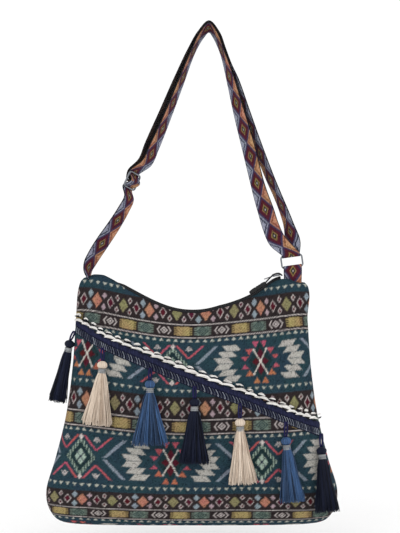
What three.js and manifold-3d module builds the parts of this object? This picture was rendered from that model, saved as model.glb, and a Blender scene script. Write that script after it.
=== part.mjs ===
// Shoulder bag of jacquard cloth with a zip, a diagonal trim, seven tassels and an adjustable strap.
// Millimetres, +Z up, the front towards -Y. The origin is the underside of the strap at its highest point.
import * as THREE from 'three';
import { mergeVertices } from 'three/addons/utils/BufferGeometryUtils.js';
import Module from 'manifold-3d';

// Driving dimensions of the bag's body
const BAG_X = -24;
const BASE_Z = -690;
const CLOTH = 2;
const SEAM_GAP = 0.3;
const MOUTH_SAG = 49;
const MOUTH_SAG_HALF_SPAN = 137;
const MOUTH_SAG_POWER = 1.6;
const SAG_STARTS_AT = 130;
const RIGHT_CORNER_DROP = 6;
const LIP_HALF_GAP = 10.5;
const LIP_LEFT = { openTo: 118, closedFrom: 136 };
const LIP_RIGHT = { openTo: 128, closedFrom: 142 };
const CORNER_DROP_FROM = 95;
const CORNER_DROP_TO = 150;
const PANEL_ROWS = 18;
const PANEL_COLUMNS = 22;

// Sections of the body from the base seam to the turned top edge
const BODY_SECTIONS = [
  { height: 0, halfWidth: 166, halfDepth: 0, squareness: 3.2 },
  { height: 0, halfWidth: 174, halfDepth: 26, squareness: 3.2 },
  { height: 6, halfWidth: 189, halfDepth: 38, squareness: 3.2 },
  { height: 22, halfWidth: 200, halfDepth: 44, squareness: 3.1 },
  { height: 44, halfWidth: 203, halfDepth: 46, squareness: 3.0 },
  { height: 90, halfWidth: 190, halfDepth: 47, squareness: 2.9 },
  { height: 150, halfWidth: 175.5, halfDepth: 44, squareness: 2.8 },
  { height: 220, halfWidth: 166.5, halfDepth: 36, squareness: 2.7 },
  { height: 290, halfWidth: 162, halfDepth: 24, squareness: 2.8 },
  { height: 328, halfWidth: 159, halfDepth: 16, squareness: 3.6 },
  { height: 340, halfWidth: 155, halfDepth: 13.5, squareness: 4.5 },
  { height: 344, halfWidth: 151, halfDepth: 11, squareness: 5 },
];

const LAST_SECTION = BODY_SECTIONS.length - 1;
const SIDE_SECTION = 3;
const EDGE_ACROSS = 0.998;
const HALVINGS = 40;
const TOP_HEIGHT = BODY_SECTIONS[LAST_SECTION].height;

// Zip along the top edge
const ZIP_FROM = -115;
const ZIP_TO = 124;
const ZIP_STEPS = 22;
const ZIP_TAPE = 1;
const ZIP_TAPE_INSET = 2.6;
const ZIP_ARCH = 3;
const CHAIN_WIDTH = 5;
const CHAIN_HEIGHT = 2.4;
const ZIP_SLIDER = { x: 94, length: 12, width: 9, height: 4, lift: 0.6, corner: 3, bevel: 0.8 };
const PULLER = { length: 11, width: 5, thickness: 1.4, gap: 0.5, lift: 1.4, corner: 2, bevel: 0.3 };
const SLOPE_SPAN = 10;
const PULL_CORD_RADIUS = 1.1;
const PULL_CORD_STEPS = 14;
const PULL_CORD_ROUTE = [
  { x: 102, y: -6.4, z: -346.5 },
  { x: 97.5, y: -8, z: -343.5 },
  { x: 91, y: -11.2, z: -344.5 },
  { x: 85, y: -14.8, z: -349 },
  { x: 80.5, y: -17.4, z: -353.5 },
  { x: 77.2, y: -18.8, z: -357 },
];
const GRIP_END = { x: 56, y: -20.5, z: -371 };
const GRIP_SECTIONS = [
  { share: 0.03, radius: 2.2 },
  { share: 0.2, radius: 3.1 },
  { share: 0.7, radius: 3.3 },
  { share: 1, radius: 2.7 },
];

// Trim on the front, given by the centre of its white cord
const TRIM_LINE = [
  { x: -184.3, z: -404.5 },
  { x: -141, z: -429 },
  { x: -85, z: -453 },
  { x: -19, z: -480 },
  { x: 52, z: -506 },
  { x: 113, z: -531 },
  { x: 152, z: -547 },
];
const TRIM_STEPS = 36;
const TRIM_LIFT = 1;
const TRIM_CORD_LIFT = 1.8;
const TRIM_CORD_RADIUS = 3;
const TRIM_CORD_STEPS = 26;
const TRIM_RIBBON = { from: 3.6, to: 12.4, thickness: 1.5 };
const TRIM_EDGING = { from: 12.8, to: 19, thickness: 1.3 };

// Tassels: place of the head's centre, lean of the skirt in degrees, width of the hem
const TASSELS = [
  { headX: -201, headZ: -442, lean: -9, hemWidth: 23, colour: 'navy', beside: true },
  { headX: -146, headZ: -468.5, lean: -4.5, hemWidth: 41, colour: 'cream' },
  { headX: -80.5, headZ: -494, lean: 0, hemWidth: 49, colour: 'blue' },
  { headX: -20, headZ: -518, lean: -0.5, hemWidth: 40, colour: 'navy' },
  { headX: 41.5, headZ: -545, lean: 2, hemWidth: 37, colour: 'cream' },
  { headX: 104, headZ: -570.5, lean: 6, hemWidth: 34, colour: 'blue' },
  { headX: 154, headZ: -586.5, lean: 4, hemWidth: 32, colour: 'navy', hemLift: 19 },
];
const HEAD_RADIUS = 7;
const HEAD_HALF_HEIGHT = 5.3;
const HEAD_STEPS = 6;
const NECK_RADIUS = 4.4;
const NECK_BOTTOM = -14;
const SHOULDER = { z: -22, share: 0.46 };
const HEM_DROP = 78;
const HEM_UNEVEN = 1.5;
const HEM_WAVE = 2.4;
const HEM_HALF_DEPTH = 9.5;
const LOCKS = 8;
const LOCK_SIDES = 5;
const LOCK_TOP = { z: -15, reach: 1.6 };
const LOCK_RADIUS = { top: 1.6, shoulder: 3.2, hem: 4.6 };
const CORE_SIDES = 8;
const CORE_FILL = 2.6;
const CORE_BELOW_HEM = 0.1;
const MERGE_WITHIN = 1e-4;
const BAND ={ innerRadius: 5, outerRadius: 6, top: -6.2, bottom: -11.4 };
const BAND_SIDES = 10;
const HEAD_LIFT = 9;
const HEM_LIFT = 12;
const LOOP_RADIUS = 1.2;
const LOOP_STEPS = 4;
const LOOP_LIFT = 4;
const LOOP_GAP = 1;
const LOOP_OVERLAP = 2;
const BESIDE_Y = -6;
const CORD_SIDES = 8;

// Webbing strap. Turn 0 shows its face to the front and turn 90 shows its edge.
const WEBBING_WIDTH = 25;
const WEBBING = 1.4;
const LAYER_GAP = 1.4;
const SINGLE_RUN = [
  { x: -169, z: -344.8, turn: 90 },
  { x: -168.5, z: -334, turn: 80 },
  { x: -162, z: -319, turn: 56 },
  { x: -149, z: -300, turn: 47 },
  { x: -134, z: -278, turn: 51 },
  { x: -120, z: -255, turn: 57 },
  { x: -112, z: -238, turn: 61 },
];
const DOUBLE_RUN = [
  { x: -89, z: -188, turn: 60 },
  { x: -79, z: -166, turn: 62 },
  { x: -60, z: -121, turn: 70 },
  { x: -42, z: -76, turn: 75 },
  { x: -24, z: -32, turn: 81 },
  { x: -12, z: -10, turn: 77 },
  { x: 0, z: 2.1, turn: 70 },
  { x: 10.5, z: -10, turn: 77 },
  { x: 19.5, z: -32, turn: 80 },
  { x: 26.5, z: -54, turn: 74 },
];
const FRONT_RUN = [
  { x: 32.5, z: -76, turn: 67 },
  { x: 44, z: -121, turn: 56 },
  { x: 56, z: -166, turn: 48 },
  { x: 67, z: -211, turn: 47 },
  { x: 73, z: -233, turn: 41 },
  { x: 80, z: -255, turn: 31 },
  { x: 87, z: -278, turn: 25 },
  { x: 96, z: -298, turn: 15 },
];
const BACK_RUN = [
  { x: 35.5, z: -76, turn: 68 },
  { x: 51, z: -121, turn: 66 },
  { x: 67, z: -166, turn: 66 },
  { x: 84.5, z: -211, turn: 68 },
  { x: 94, z: -233, turn: 70 },
  { x: 103, z: -255, turn: 68 },
  { x: 111, z: -278, turn: 60 },
  { x: 116, z: -300, turn: 33 },
];
const STRAP_SUBSTEPS = 3;

// Metal fittings
const RING = {
  x: 116, z: -326.5, lean: 8, innerWidth: 27, innerHeight: 15, wire: 2.4, corner: 3, innerCorner: 1,
};
const SLIDER = { x: -107.5, z: -214, turn: 62, innerWidth: 27, pitch: 11, wire: 2.6, corner: 2.5 };
const WIRE_BEVEL = 0.5;
const FITTING_CLEARANCE = 0.7;
const WRAP_STEPS = 4;
const TAB_FOOT_LIFT = 1.4;
const TAB_FEET = [
  { halfGap: 1.8, lift: 0 },
  { halfGap: 3.2, lift: 6 },
];
const TAB_SUBSTEPS = 2;

// Finishes as seen in the photograph
const FINISHES = {
  cloth: { color: 0x34424a, roughness: 0.95, metalness: 0 },
  zipTape: { color: 0x17181a, roughness: 0.9, metalness: 0 },
  zipPlastic: { color: 0x17181a, roughness: 0.5, metalness: 0 },
  trimWhite: { color: 0xe6e2da, roughness: 0.9, metalness: 0 },
  trimNavy: { color: 0x2a2c55, roughness: 0.85, metalness: 0 },
  edging: { color: 0x2b3348, roughness: 0.9, metalness: 0 },
  navy: { color: 0x20263a, roughness: 0.6, metalness: 0 },
  cream: { color: 0xe0cdb8, roughness: 0.6, metalness: 0 },
  blue: { color: 0x3c5d86, roughness: 0.6, metalness: 0 },
  band: { color: 0x8d8f90, roughness: 0.5, metalness: 0 },
  webbing: { color: 0x5a2430, roughness: 0.9, metalness: 0 },
  chrome: { color: 0xc9ccd0, roughness: 0.25, metalness: 1 },
};

const wasm = await Module();
wasm.setup();
const bag = new THREE.Group();

function addPiece(name, geometry, finish) {
  const mesh = new THREE.Mesh(geometry, new THREE.MeshStandardMaterial(FINISHES[finish]));
  mesh.name = name;
  bag.add(mesh);
  return mesh;
}

// A closed solid from its triangles, with the faces turned outwards
function closedGeometry(points, triangles) {
  let volume = 0;
  for (const [a, b, c] of triangles) {
    volume += points[a].dot(new THREE.Vector3().crossVectors(points[b], points[c]));
  }
  const index = triangles.flatMap(([a, b, c]) => (volume > 0 ? [a, b, c] : [a, c, b]));
  const geometry = new THREE.BufferGeometry().setFromPoints(points);
  geometry.setIndex(index);
  geometry.computeVertexNormals();
  return geometry;
}

// A solid through a row of rings that all have the same number of points, closed at both ends.
// A flat one has the same diagonals on both broad sides, so that it stays as thick where it twists.
function loft(rings, flat = false) {
  const sides = rings[0].length;
  const triangles = [];
  for (let ring = 0; ring < rings.length - 1; ring += 1) {
    for (let side = 0; side < sides; side += 1) {
      const here = ring * sides + side;
      const beside = ring * sides + ((side + 1) % sides);
      if (flat && side >= sides / 2) {
        triangles.push([here, beside, beside + sides], [here, beside + sides, here + sides]);
      } else {
        triangles.push([here, beside, here + sides], [beside, beside + sides, here + sides]);
      }
    }
  }
  const last = (rings.length - 1) * sides;
  for (let side = 1; side < sides - 1; side += 1) {
    triangles.push([0, side + 1, side], [last, last + side, last + side + 1]);
  }
  return closedGeometry(rings.flat(), triangles);
}

function smoothStep(value, from, to) {
  return THREE.MathUtils.smoothstep(value, from, to);
}

// Body of the bag
const profile = new THREE.CatmullRomCurve3(
  BODY_SECTIONS.map((row) => new THREE.Vector3(row.halfWidth, row.halfDepth, row.height)),
  false,
  'centripetal',
);

function squarenessAt(share) {
  const place = share * LAST_SECTION;
  const row = Math.min(Math.floor(place), LAST_SECTION - 1);
  return THREE.MathUtils.lerp(BODY_SECTIONS[row].squareness, BODY_SECTIONS[row + 1].squareness, place - row);
}

// How far the cloth hangs below its flat height at a distance from the bag's middle
function sagAt(acrossX, height) {
  const share = Math.cos((Math.PI / 2) * Math.min(1, Math.abs(acrossX) / MOUTH_SAG_HALF_SPAN));
  const corner = RIGHT_CORNER_DROP * smoothStep(acrossX, CORNER_DROP_FROM, CORNER_DROP_TO);
  const depth = MOUTH_SAG * Math.max(0, share) ** MOUTH_SAG_POWER + corner;
  return depth * smoothStep(height, SAG_STARTS_AT, TOP_HEIGHT);
}

function lipDepth(acrossX) {
  const side = acrossX < 0 ? LIP_LEFT : LIP_RIGHT;
  return LIP_HALF_GAP * (1 - smoothStep(Math.abs(acrossX), side.openTo, side.closedFrom));
}

// A point of the front wall: share runs up the section rows, across runs from the left seam to the right one
function bodyPoint(share, across) {
  const row = profile.getPoint(share);
  const power = squarenessAt(share);
  const acrossX = row.x * across;
  const round = row.y * (1 - Math.abs(across) ** power) ** (1 / power);
  const lipShare = THREE.MathUtils.clamp(share * LAST_SECTION - LAST_SECTION + 1, 0, 1);
  const depth = THREE.MathUtils.lerp(round, Math.min(round, lipDepth(acrossX)), lipShare);
  const z = BASE_Z + row.z - sagAt(acrossX, row.z);
  return new THREE.Vector3(BAG_X + acrossX, -SEAM_GAP / 2 - depth, z);
}

// The way out of the front wall at a place on it
function bodyNormal(share, across) {
  const nudge = 0.002;
  const left = bodyPoint(share, Math.max(-1, across - nudge));
  const right = bodyPoint(share, Math.min(1, across + nudge));
  const low = bodyPoint(Math.max(0, share - nudge), across);
  const high = bodyPoint(Math.min(1, share + nudge), across);
  return new THREE.Vector3().crossVectors(right.sub(left), high.sub(low)).normalize();
}

// The outside of the front wall behind a place seen from the front, moved outwards by a lift
function onFront(x, z, lift) {
  const acrossX = x - BAG_X;
  let low = SIDE_SECTION / LAST_SECTION;
  let high = 1;
  for (let step = 0; step < HALVINGS; step += 1) {
    const middle = (low + high) / 2;
    const height = profile.getPoint(middle).z;
    if (BASE_Z + height - sagAt(acrossX, height) < z) low = middle;
    else high = middle;
  }
  const across = THREE.MathUtils.clamp(acrossX / profile.getPoint(low).x, -EDGE_ACROSS, EDGE_ACROSS);
  return bodyPoint(low, across).addScaledVector(bodyNormal(low, across), lift);
}

// A cloth wall: the outside grid, the inside grid one thickness behind it, and the rim between them
function clothWall(mirror) {
  const outside = [];
  const inside = [];
  for (let row = 0; row <= PANEL_ROWS; row += 1) {
    const share = row / PANEL_ROWS;
    for (let column = 0; column <= PANEL_COLUMNS; column += 1) {
      const across = Math.sin((Math.PI / 2) * ((2 * column) / PANEL_COLUMNS - 1));
      const point = bodyPoint(share, across);
      const inner = point.clone().addScaledVector(bodyNormal(share, across), -CLOTH);
      inner.y = Math.min(inner.y, -SEAM_GAP / 2);
      point.y *= mirror;
      inner.y *= mirror;
      outside.push(point);
      inside.push(inner);
    }
  }
  const stride = PANEL_COLUMNS + 1;
  const count = outside.length;
  const triangles = [];
  for (let row = 0; row < PANEL_ROWS; row += 1) {
    for (let column = 0; column < PANEL_COLUMNS; column += 1) {
      const a = row * stride + column;
      const b = a + stride;
      triangles.push([a, a + 1, b], [a + 1, b + 1, b]);
      triangles.push([count + a, count + b, count + a + 1], [count + a + 1, count + b, count + b + 1]);
    }
  }
  const rim = [];
  for (let column = 0; column < PANEL_COLUMNS; column += 1) rim.push(column);
  for (let row = 0; row < PANEL_ROWS; row += 1) rim.push(row * stride + PANEL_COLUMNS);
  for (let column = PANEL_COLUMNS; column > 0; column -= 1) rim.push(PANEL_ROWS * stride + column);
  for (let row = PANEL_ROWS; row > 0; row -= 1) rim.push(row * stride);
  rim.forEach((here, place) => {
    const next = rim[(place + 1) % rim.length];
    triangles.push([here, count + here, next], [next, count + here, count + next]);
  });
  return closedGeometry([...outside, ...inside], triangles);
}

addPiece('front_panel', clothWall(1), 'cloth');
addPiece('back_panel', clothWall(-1), 'cloth');

// Zip: two tapes that rise from the lips to the chain
function lipZ(acrossX) {
  return BASE_Z + TOP_HEIGHT - sagAt(acrossX, TOP_HEIGHT);
}

function zipRings(sectionAt) {
  const rings = [];
  for (let step = 0; step <= ZIP_STEPS; step += 1) {
    const acrossX = THREE.MathUtils.lerp(ZIP_FROM, ZIP_TO, step / ZIP_STEPS);
    rings.push(sectionAt(acrossX).map(([y, z]) => new THREE.Vector3(BAG_X + acrossX, y, lipZ(acrossX) + z)));
  }
  return rings;
}

function zipTape(side) {
  return loft(zipRings((acrossX) => {
    const outer = side * (lipDepth(acrossX) - ZIP_TAPE_INSET);
    const inner = side * (CHAIN_WIDTH / 2 + SEAM_GAP);
    return [[outer, -ZIP_TAPE], [inner, ZIP_ARCH - ZIP_TAPE], [inner, ZIP_ARCH], [outer, 0]];
  }));
}

addPiece('zip_tape_front', zipTape(-1), 'zipTape');
addPiece('zip_tape_back', zipTape(1), 'zipTape');
addPiece('zip_chain', loft(zipRings(() => {
  const half = CHAIN_WIDTH / 2;
  const low = ZIP_ARCH - ZIP_TAPE;
  return [[-half, low], [half, low], [half, low + CHAIN_HEIGHT], [-half, low + CHAIN_HEIGHT]];
})), 'zipPlastic');

function roundedOutline(width, height, corner, target) {
  const x = width / 2;
  const y = height / 2;
  target.moveTo(-x + corner, -y);
  target.lineTo(x - corner, -y);
  target.absarc(x - corner, -y + corner, corner, -Math.PI / 2, 0);
  target.lineTo(x, y - corner);
  target.absarc(x - corner, y - corner, corner, 0, Math.PI / 2);
  target.lineTo(-x + corner, y);
  target.absarc(-x + corner, y - corner, corner, Math.PI / 2, Math.PI);
  target.lineTo(-x, -y + corner);
  target.absarc(-x + corner, -y + corner, corner, Math.PI, 1.5 * Math.PI);
  return target;
}

// A flat plate with soft edges, centred on its own origin, thin along Z
function plate(shape, thickness, bevel) {
  const geometry = new THREE.ExtrudeGeometry(shape, {
    depth: thickness - 2 * bevel, steps: 1, curveSegments: 2,
    bevelEnabled: true, bevelThickness: bevel, bevelSize: bevel, bevelOffset: -bevel, bevelSegments: 1,
  });
  return geometry.translate(0, 0, bevel - thickness / 2);
}

function alongZip(mesh, x, lift) {
  const acrossX = x - BAG_X;
  const rise = lipZ(acrossX + SLOPE_SPAN / 2) - lipZ(acrossX - SLOPE_SPAN / 2);
  const slope = Math.atan2(rise, SLOPE_SPAN);
  const chainTop = ZIP_ARCH - ZIP_TAPE + CHAIN_HEIGHT;
  mesh.position.set(x, 0, lipZ(acrossX) + chainTop + lift);
  mesh.rotation.y = -slope;
}

const zipSliderShape = roundedOutline(
  ZIP_SLIDER.length, ZIP_SLIDER.width, ZIP_SLIDER.corner, new THREE.Shape(),
);
const zipSliderBody = plate(zipSliderShape, ZIP_SLIDER.height, ZIP_SLIDER.bevel);
const zipSlider = addPiece('zip_slider', zipSliderBody, 'chrome');
alongZip(zipSlider, ZIP_SLIDER.x, ZIP_SLIDER.lift + ZIP_SLIDER.height / 2);
const pullerShape = roundedOutline(PULLER.length, PULLER.width, PULLER.corner, new THREE.Shape());
const zipPuller = addPiece('zip_puller', plate(pullerShape, PULLER.thickness, PULLER.bevel), 'chrome');
alongZip(zipPuller, ZIP_SLIDER.x - (ZIP_SLIDER.length + PULLER.length) / 2 - PULLER.gap, PULLER.lift);

// A tube with round sections along a smooth curve
function tube(points, radius, steps) {
  const section = new THREE.Shape();
  for (let side = 0; side < CORD_SIDES; side += 1) {
    const angle = (2 * Math.PI * side) / CORD_SIDES;
    const place = [radius * Math.cos(angle), radius * Math.sin(angle)];
    if (side === 0) section.moveTo(...place);
    else section.lineTo(...place);
  }
  section.closePath();
  const extrudePath = new THREE.CatmullRomCurve3(points, false, 'centripetal');
  return new THREE.ExtrudeGeometry(section, { steps, extrudePath, bevelEnabled: false });
}

function ellipseRing(centre, halfWidth, halfDepth, sides) {
  const ring = [];
  for (let side = 0; side < sides; side += 1) {
    const angle = (2 * Math.PI * (side + 0.5)) / sides;
    const offset = new THREE.Vector3(halfWidth * Math.cos(angle), halfDepth * Math.sin(angle), 0);
    ring.push(offset.add(centre));
  }
  return ring;
}

function roundRing(centre, radius, sides) {
  return ellipseRing(centre, radius, radius, sides);
}

const cordPoints = PULL_CORD_ROUTE.map((row) => new THREE.Vector3(row.x, row.y, row.z));
addPiece('zip_pull_cord', tube(cordPoints, PULL_CORD_RADIUS, PULL_CORD_STEPS), 'zipTape');

const gripStart = cordPoints.at(-1);
const gripAxis = new THREE.Vector3(GRIP_END.x, GRIP_END.y, GRIP_END.z).sub(gripStart);
const zipGrip = addPiece('zip_pull_grip', loft(GRIP_SECTIONS.map((row) => roundRing(
  new THREE.Vector3(0, 0, -row.share * gripAxis.length()), row.radius, CORE_SIDES,
))), 'zipPlastic');
zipGrip.position.copy(gripStart);
zipGrip.quaternion.setFromUnitVectors(new THREE.Vector3(0, 0, -1), gripAxis.clone().normalize());

// Diagonal trim
const trimLine = new THREE.CatmullRomCurve3(
  TRIM_LINE.map((row) => new THREE.Vector3(row.x, 0, row.z)), false, 'centripetal',
);

function trimPoint(share, drop, lift) {
  const place = trimLine.getPoint(share);
  const slope = trimLine.getTangent(share);
  return onFront(place.x, place.z - drop / Math.abs(slope.x), lift);
}

function trimStrip(strip) {
  const rings = [];
  for (let step = 0; step <= TRIM_STEPS; step += 1) {
    const share = step / TRIM_STEPS;
    const top = TRIM_LIFT + strip.thickness;
    rings.push([
      trimPoint(share, strip.from, TRIM_LIFT), trimPoint(share, strip.to, TRIM_LIFT),
      trimPoint(share, strip.to, top), trimPoint(share, strip.from, top),
    ]);
  }
  return loft(rings);
}

const trimCordPoints = [];
for (let step = 0; step <= TRIM_STEPS / 2; step += 1) {
  trimCordPoints.push(trimPoint((2 * step) / TRIM_STEPS, 0, TRIM_CORD_LIFT + TRIM_CORD_RADIUS));
}
addPiece('trim_cord', tube(trimCordPoints, TRIM_CORD_RADIUS, TRIM_CORD_STEPS), 'trimWhite');
addPiece('trim_ribbon', trimStrip(TRIM_RIBBON), 'trimNavy');
addPiece('trim_edging', trimStrip(TRIM_EDGING), 'edging');

// Tassels
function solidOf(geometry) {
  const bare = geometry.clone();
  bare.deleteAttribute('normal');
  bare.deleteAttribute('uv');
  const merged = mergeVertices(bare, MERGE_WITHIN);
  return new wasm.Manifold(new wasm.Mesh({
    numProp: 3,
    vertProperties: new Float32Array(merged.attributes.position.array),
    triVerts: new Uint32Array(merged.index.array),
  }));
}

function geometryOf(solid) {
  const mesh = solid.getMesh();
  const geometry = new THREE.BufferGeometry();
  geometry.setAttribute('position', new THREE.BufferAttribute(new Float32Array(mesh.vertProperties), 3));
  geometry.setIndex(new THREE.BufferAttribute(new Uint32Array(mesh.triVerts), 1));
  geometry.computeVertexNormals();
  return geometry;
}

function lathe(profilePoints, segments) {
  return new THREE.LatheGeometry(profilePoints, segments).rotateX(Math.PI / 2);
}

function tasselHead() {
  const outline = [];
  for (let step = 0; step <= HEAD_STEPS; step += 1) {
    const angle = Math.PI * (step / HEAD_STEPS) - Math.PI / 2;
    const radius = step === 0 || step === HEAD_STEPS ? 0 : HEAD_RADIUS * Math.cos(angle);
    outline.push(new THREE.Vector2(radius, HEAD_HALF_HEIGHT * Math.sin(angle)));
  }
  return lathe(outline, BAND_SIDES);
}

// Head, neck and a skirt of locks in one piece, hanging along -Z from the head's centre
function tassel(hemWidth) {
  const reach = hemWidth / 2 - LOCK_RADIUS.hem;
  const depth = HEM_HALF_DEPTH - LOCK_RADIUS.hem;
  const at = (x, y, z) => new THREE.Vector3(x, y, z);
  const coreBottom = -HEM_DROP - HEM_UNEVEN - CORE_BELOW_HEM;
  const core = loft([
    roundRing(at(0, 0, 0), NECK_RADIUS, CORE_SIDES),
    roundRing(at(0, 0, NECK_BOTTOM), NECK_RADIUS, CORE_SIDES),
    ellipseRing(at(0, 0, SHOULDER.z), reach * SHOULDER.share + CORE_FILL, depth + CORE_FILL, CORE_SIDES),
    ellipseRing(at(0, 0, coreBottom), reach + CORE_FILL, depth + CORE_FILL, CORE_SIDES),
  ]);
  let solid = solidOf(core).add(solidOf(tasselHead()));
  for (let lock = 0; lock < LOCKS; lock += 1) {
    const angle = (2 * Math.PI * lock) / LOCKS;
    const wide = Math.cos(angle);
    const deep = Math.sin(angle);
    const hemZ = HEM_UNEVEN * Math.sin(HEM_WAVE * lock) - HEM_DROP;
    const shoulder = at(reach * SHOULDER.share * wide, depth * deep, SHOULDER.z);
    const strand = loft([
      roundRing(at(LOCK_TOP.reach * wide, LOCK_TOP.reach * deep, LOCK_TOP.z), LOCK_RADIUS.top, LOCK_SIDES),
      roundRing(shoulder, LOCK_RADIUS.shoulder, LOCK_SIDES),
      roundRing(at(reach * wide, depth * deep, hemZ), LOCK_RADIUS.hem, LOCK_SIDES),
    ]);
    solid = solid.add(solidOf(strand));
  }
  return geometryOf(solid);
}

const bandOutline = [
  new THREE.Vector2(BAND.innerRadius, BAND.bottom),
  new THREE.Vector2(BAND.outerRadius, BAND.bottom),
  new THREE.Vector2(BAND.outerRadius, BAND.top),
  new THREE.Vector2(BAND.innerRadius, BAND.top),
  new THREE.Vector2(BAND.innerRadius, BAND.bottom),
];

// A place in front of the cloth, or beside the bag where there is no cloth behind it
function hangingPoint(x, z, lift, beside) {
  if (beside) return new THREE.Vector3(x, BESIDE_Y, z);
  return onFront(x, z, 0).add(new THREE.Vector3(0, -lift, 0));
}

// The share of the trim's length at which it passes over a place across the bag
function trimShareAt(x) {
  let low = 0;
  let high = 1;
  for (let step = 0; step < HALVINGS; step += 1) {
    const middle = (low + high) / 2;
    if (trimLine.getPoint(middle).x < x) low = middle;
    else high = middle;
  }
  return low;
}

TASSELS.forEach((row, place) => {
  const number = place + 1;
  const lean = THREE.MathUtils.degToRad(row.lean);
  const hemX = row.headX + HEM_DROP * Math.sin(lean);
  const hemZ = row.headZ - HEM_DROP * Math.cos(lean);
  const head = hangingPoint(row.headX, row.headZ, HEAD_LIFT, row.beside);
  const hem = hangingPoint(hemX, hemZ, row.hemLift ?? HEM_LIFT, row.beside);
  const axis = hem.clone().sub(head).normalize();
  const skirt = addPiece(`tassel_${number}`, tassel(row.hemWidth), row.colour);
  const band = addPiece(`tassel_band_${number}`, lathe(bandOutline, BAND_SIDES), 'band');
  for (const piece of [skirt, band]) {
    piece.position.copy(head);
    piece.quaternion.setFromUnitVectors(new THREE.Vector3(0, 0, -1), axis);
  }
  const knot = trimPoint(trimShareAt(row.headX), TRIM_EDGING.to - LOOP_OVERLAP, LOOP_LIFT);
  const crown = head.clone().addScaledVector(axis, -HEAD_HALF_HEIGHT - LOOP_GAP);
  const middle = knot.clone().lerp(crown, 0.5);
  addPiece(`tassel_loop_${number}`, tube([knot, middle, crown], LOOP_RADIUS, LOOP_STEPS), 'trimNavy');
});

// Strap: the width direction of the webbing at a row of a run, and the way its pattern faces
function webbingFrame(tangent, turn) {
  const angle = THREE.MathUtils.degToRad(turn);
  const inside = new THREE.Vector3(tangent.z, 0, -tangent.x);
  const face = inside.multiplyScalar(Math.sin(angle)).add(new THREE.Vector3(0, -Math.cos(angle), 0));
  return { face, wide: new THREE.Vector3().crossVectors(tangent, face) };
}

// Stations of a run, in its order, moved along the pattern's facing by an offset
function runStations(run, offset) {
  return run.map((row, place) => {
    const before = run[Math.max(0, place - 1)];
    const after = run[Math.min(run.length - 1, place + 1)];
    const tangent = new THREE.Vector3(after.x - before.x, 0, after.z - before.z).normalize();
    const { face, wide } = webbingFrame(tangent, row.turn);
    return { point: new THREE.Vector3(row.x, 0, row.z).addScaledVector(face, offset), wide };
  });
}

// A ribbon of webbing through stations that give its middle and its width direction
function ribbon(stations, substeps) {
  const middles = new THREE.CatmullRomCurve3(stations.map((row) => row.point), false, 'centripetal');
  const wides = new THREE.CatmullRomCurve3(stations.map((row) => row.wide), false, 'catmullrom', 0.5);
  const spans = (stations.length - 1) * substeps;
  const rings = [];
  for (let step = 0; step <= spans; step += 1) {
    const share = step / spans;
    const middle = middles.getPoint(share);
    const wide = wides.getPoint(share).normalize();
    const thick = new THREE.Vector3().crossVectors(middles.getTangent(share), wide).normalize();
    rings.push([[-1, -1], [1, -1], [1, 1], [-1, 1]].map(([across, through]) => middle.clone()
      .addScaledVector(wide, (across * WEBBING_WIDTH) / 2)
      .addScaledVector(thick, (through * WEBBING) / 2)));
  }
  return loft(rings, true);
}

const ringLean = THREE.MathUtils.degToRad(RING.lean);
const ringCentre = new THREE.Vector3(RING.x, 0, RING.z);
const ringBar = new THREE.Vector3(Math.cos(ringLean), 0, Math.sin(ringLean));
const ringUp = new THREE.Vector3(-Math.sin(ringLean), 0, Math.cos(ringLean));
const barReach = (RING.innerHeight + RING.wire) / 2;
const wrapRadius = RING.wire / 2 + FITTING_CLEARANCE + WEBBING / 2;

// Half a turn of webbing round a bar: it starts on one side of the bar and passes it on the way under
function halfTurn(bar, start, under, radius, wide) {
  const stations = [];
  for (let step = 0; step <= WRAP_STEPS; step += 1) {
    const angle = (Math.PI * step) / WRAP_STEPS;
    const point = bar.clone()
      .addScaledVector(start, radius * Math.cos(angle))
      .addScaledVector(under, radius * Math.sin(angle));
    stations.push({ point, wide });
  }
  return stations;
}

function ringTurn(barSide, wide) {
  const bar = ringCentre.clone().addScaledVector(ringUp, barSide * barReach);
  const under = ringUp.clone().multiplyScalar(-barSide);
  return halfTurn(bar, new THREE.Vector3(0, -1, 0), under, wrapRadius, wide);
}

const sliderMiddle = new THREE.Vector3(SLIDER.x, 0, SLIDER.z);
const lastSingle = SINGLE_RUN.at(-1);
const firstDouble = DOUBLE_RUN[0];
const sliderUp = new THREE.Vector3(firstDouble.x - lastSingle.x, 0, firstDouble.z - lastSingle.z).normalize();
const sliderFrame = webbingFrame(sliderUp, SLIDER.turn);
const layerPitch = WEBBING + LAYER_GAP;
const underBar = SLIDER.wire / 2 + FITTING_CLEARANCE + WEBBING / 2;

function sliderStation(along, out) {
  const point = sliderMiddle.clone().addScaledVector(sliderUp, along).addScaledVector(sliderFrame.face, out);
  return { point, wide: sliderFrame.wide };
}

const strapStations = [
  ...runStations(SINGLE_RUN, 0),
  sliderStation(-SLIDER.pitch, -underBar),
  sliderStation(0, underBar + layerPitch),
  sliderStation(SLIDER.pitch, -underBar),
  ...runStations([...DOUBLE_RUN, ...FRONT_RUN], layerPitch / 2),
  ...ringTurn(1, ringBar.clone().negate()),
  ...runStations([...DOUBLE_RUN, ...BACK_RUN], -layerPitch / 2).reverse(),
  sliderStation(SLIDER.pitch, -underBar - layerPitch),
  ...halfTurn(
    sliderMiddle, sliderFrame.face.clone().negate(), sliderUp.clone().negate(), underBar, sliderFrame.wide,
  ),
];
addPiece('shoulder_strap', ribbon(strapStations, STRAP_SUBSTEPS), 'webbing');

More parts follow.
